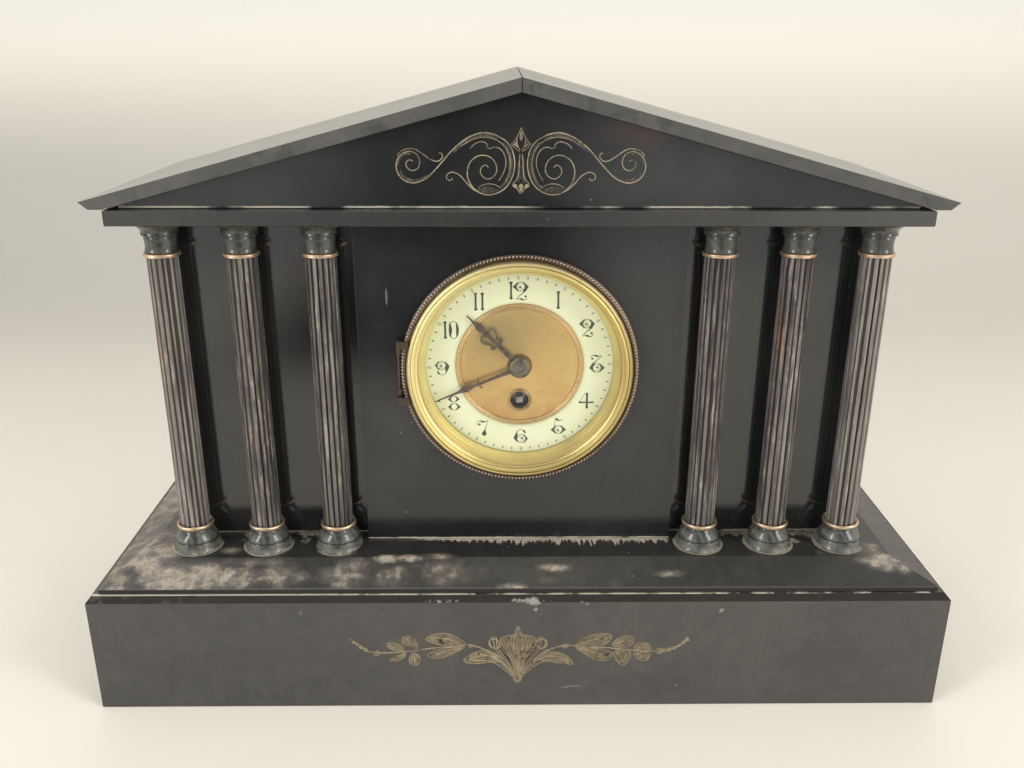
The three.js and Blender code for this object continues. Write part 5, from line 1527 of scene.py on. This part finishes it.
def hatchMesh(shape, place):
    for side in (1, -1):
        for band in gableScroll["bands"]:
            brush(shape, mirrored(band, side), place, 0.015)


def leafMesh(shape, place):
    for outline in leafSpray["leaves"]:
        rim = curved([(*point, 0) for point in outline], 3, True)
        patch(shape, [(x, z) for x, z, _ in rim], place, 0.02)
    for x, z, radius in leafSpray["berries"]:
        dot(shape, x, z, radius, place, 0.035)


def leafVein(outline, share):
    # a line from the foot of a leaf to its tip, part of the way from one side to the other
    foot = Vector(outline[0])
    tip = max(range(len(outline)), key=lambda i: (Vector(outline[i]) - foot).length)
    line = []
    for step in (0.12, 0.35, 0.6, 0.85):
        ends = []
        for side in (outline[:tip + 1], [outline[0]] + outline[:tip - 1:-1]):
            along = step * (len(side) - 1)
            i = min(int(along), len(side) - 2)
            ends.append(Vector(side[i]).lerp(Vector(side[i + 1]), along - i))
        line.append((*ends[0].lerp(ends[1], share), 0.2))
    return line


def stalkMesh(shape, place):
    for line in leafSpray["stalks"]:
        brush(shape, line, place, 0.04, crown=0.04, steps=4)
    for outline in leafSpray["leaves"]:
        rim = [(*point, 0.36) for point in outline]
        brush(shape, rim, place, 0.04, crown=0.03, steps=3, closed=True)
        for share in (0.2, 0.36, 0.64, 0.8):
            brush(shape, leafVein(outline, share), place, 0.035, crown=0.02, steps=3)
    for side in (1, -1):
        for line in leafSpray["bundle"]:
            straw = [(x * side - 0.2, z, 0.36) for x, z in line]
            brush(shape, straw, place, 0.04, crown=0.02)
    for x, z in leafSpray["spread"]:
        ray = [(0.1 + x * 0.08, 16.5, 0.25), (0.1 + x * 0.5, 27.0, 0.3), (x, z, 0.22)]
        brush(shape, ray, place, 0.04, crown=0.02)
    for x, z, radius in leafSpray["berries"]:
        turns = (0, 1.26, 2.51, 3.77, 5.03)
        rim = [(x + radius * math.cos(t), z + radius * math.sin(t), 0.34) for t in turns]
        brush(shape, rim, place, 0.045, crown=0.03, steps=3, closed=True)


def veinMesh(shape, place):
    for line in leafSpray["dark"]:
        brush(shape, line, place, 0.045, steps=4)


ornaments = {
    "gable_scroll": (gableScroll, scrollMesh, ornamentFinish(
        "scroll gilding", (0.50, 0.43, 0.29), (0.22, 0.18, 0.12), 0.6)),
    "gable_hatching": (gableScroll, hatchMesh, hatchFinish()),
    "spray_leaves": (leafSpray, leafMesh, ornamentFinish(
        "leaf gilding", (0.20, 0.165, 0.105), (0.125, 0.108, 0.078), 0.8)),
    "spray_stalks": (leafSpray, stalkMesh, ornamentFinish(
        "stalk gilding", (0.44, 0.37, 0.24), (0.24, 0.195, 0.125), 0.6)),
    "spray_veins": (leafSpray, veinMesh, ornamentFinish(
        "vein brown", (0.075, 0.042, 0.032), (0.046, 0.029, 0.023), 0.1)),
}
for name, (look, draw, material) in ornaments.items():
    shape = bmesh.new()
    draw(shape, ornamentPlace(look))
    piece(name, bake(name, shape, 50), "case", material)
print("gilt ornament cut")

# Floor, backdrop, light and the dark card that the polished faces mirror, in metres
studio = {
    "floor": (0.88, 0.835, 0.74), "zenith": 0.6, "horizon": 1.05, "front": 0.86,
    "sky": (1.0, 0.985, 0.96, 1), "bend": 0.6, "bendStart": 0.55,
    "lamps": [
        # name, place, target, width, height, energy, colour
        ("overhead", (-0.1, -0.5, 1.7), (0, 0, 0.1), 1.4, 1.0, 5, (1.0, 0.985, 0.96)),
        ("right window", (1.35, -1.0, 0.85), (0, 0, 0.15), 0.5, 1.3, 15, (1.0, 0.98, 0.95)),
        ("left window", (-1.3, -1.0, 0.8), (0, 0, 0.15), 0.4, 1.2, 12, (0.98, 0.99, 1.0)),
    ],
}


def floorFinish():
    # pale paper with painted shade: a little darker where it rises behind the clock, more so toward the
    # left, and lighter again higher up
    finish = Finish("studio paper")
    band = finish.y.above(0.05, 0.75) * finish.z.below(0.10, 0.33)
    side = (finish.x * -1).above(-0.6, 0.9) * 0.3 + 0.7
    colour = finish.coats(
        studio["floor"], (finish.noise(1.6, 3).above(0.3, 0.7) * 0.3, (0.88, 0.84, 0.75)),
        (band * side, (0.52, 0.50, 0.455)), (finish.z.above(0.22, 0.4), (0.80, 0.785, 0.745)),
    )
    return finish.surface(colour, 0.6)


def cardFinish():
    # dark in the middle, fading out to its edges
    finish = Finish("dark card")
    away = finish.away((-0.07, -0.45, 0.2), (4.4, 0.0, 0.0)).below(0.5, 1.1)
    near = (finish.y * -1).above(0.36, 0.55)
    clear = finish.node("BsdfTransparent", {}, {})
    dark = finish.node("BsdfDiffuse", {}, {"Color": (0.035, 0.038, 0.045)})
    return finish.output(finish.node("MixShader", {}, {0: away * near, 1: clear, 2: dark}))


def sheet(name, outline, left, right, material):
    # a strip bent along an outline of (back, up)
    shape = bmesh.new()
    rows = [[shape.verts.new((x, y, z)) for x in (left, right)] for y, z in outline]
    skin(shape, rows, around=False)
    made = link(name, bake(name, shape, 60))
    made.data.materials.append(material)
    return made


def sweepOutline():
    # paper that lies just under the clock and curves up into a backdrop
    start, bend = studio["bendStart"], studio["bend"]
    turns = [math.pi / 2 * i / 16 for i in range(1, 17)]
    rise = [(start + bend * math.sin(turn), bend - bend * math.cos(turn)) for turn in turns]
    return [(y, z - 0.0002) for y, z in [(-0.9, 0), (start, 0), *rise, (start + bend, 2.4)]]


sheet("sweep", sweepOutline(), -2.6, 2.6, floorFinish())
cardOutline = [(-0.34, 0.012), (-0.95, 0.012), (-1.05, 0.1), (-1.05, 1.1)]
card = sheet("dark card", cardOutline, -0.7, 0.6, cardFinish())
card.visible_camera = card.visible_diffuse = card.visible_shadow = False

for name, place, target, width, height, energy, colour in studio["lamps"]:
    lamp = bpy.data.lights.new(name, "AREA")
    lamp.shape = "RECTANGLE"
    lamp.size, lamp.size_y = width, height
    lamp.energy = energy
    lamp.color = colour
    made = link(name, lamp)
    made.location = place
    made.rotation_euler = (Vector(target) - Vector(place)).to_track_quat("-Z", "Y").to_euler()


def lightTent():
    # brighter near the horizon and behind the clock than overhead or in front
    world = bpy.data.worlds.new("studio")
    bpy.context.scene.world = world
    world.use_nodes = True
    horizon = studio["horizon"]
    tent = Finish("tent", world.node_tree, "Generated")
    level = tent.z.above(0.0, 0.9) * (studio["zenith"] - horizon) + horizon
    level = level * (1 - (tent.y * -1).above(0.1, 0.9) * (1 - studio["front"] / horizon))
    sky = world.node_tree.nodes["Background"]
    sky.inputs[0].default_value = studio["sky"]
    world.node_tree.links.new(level.socket, sky.inputs[1])


lightTent()
print("studio lit")
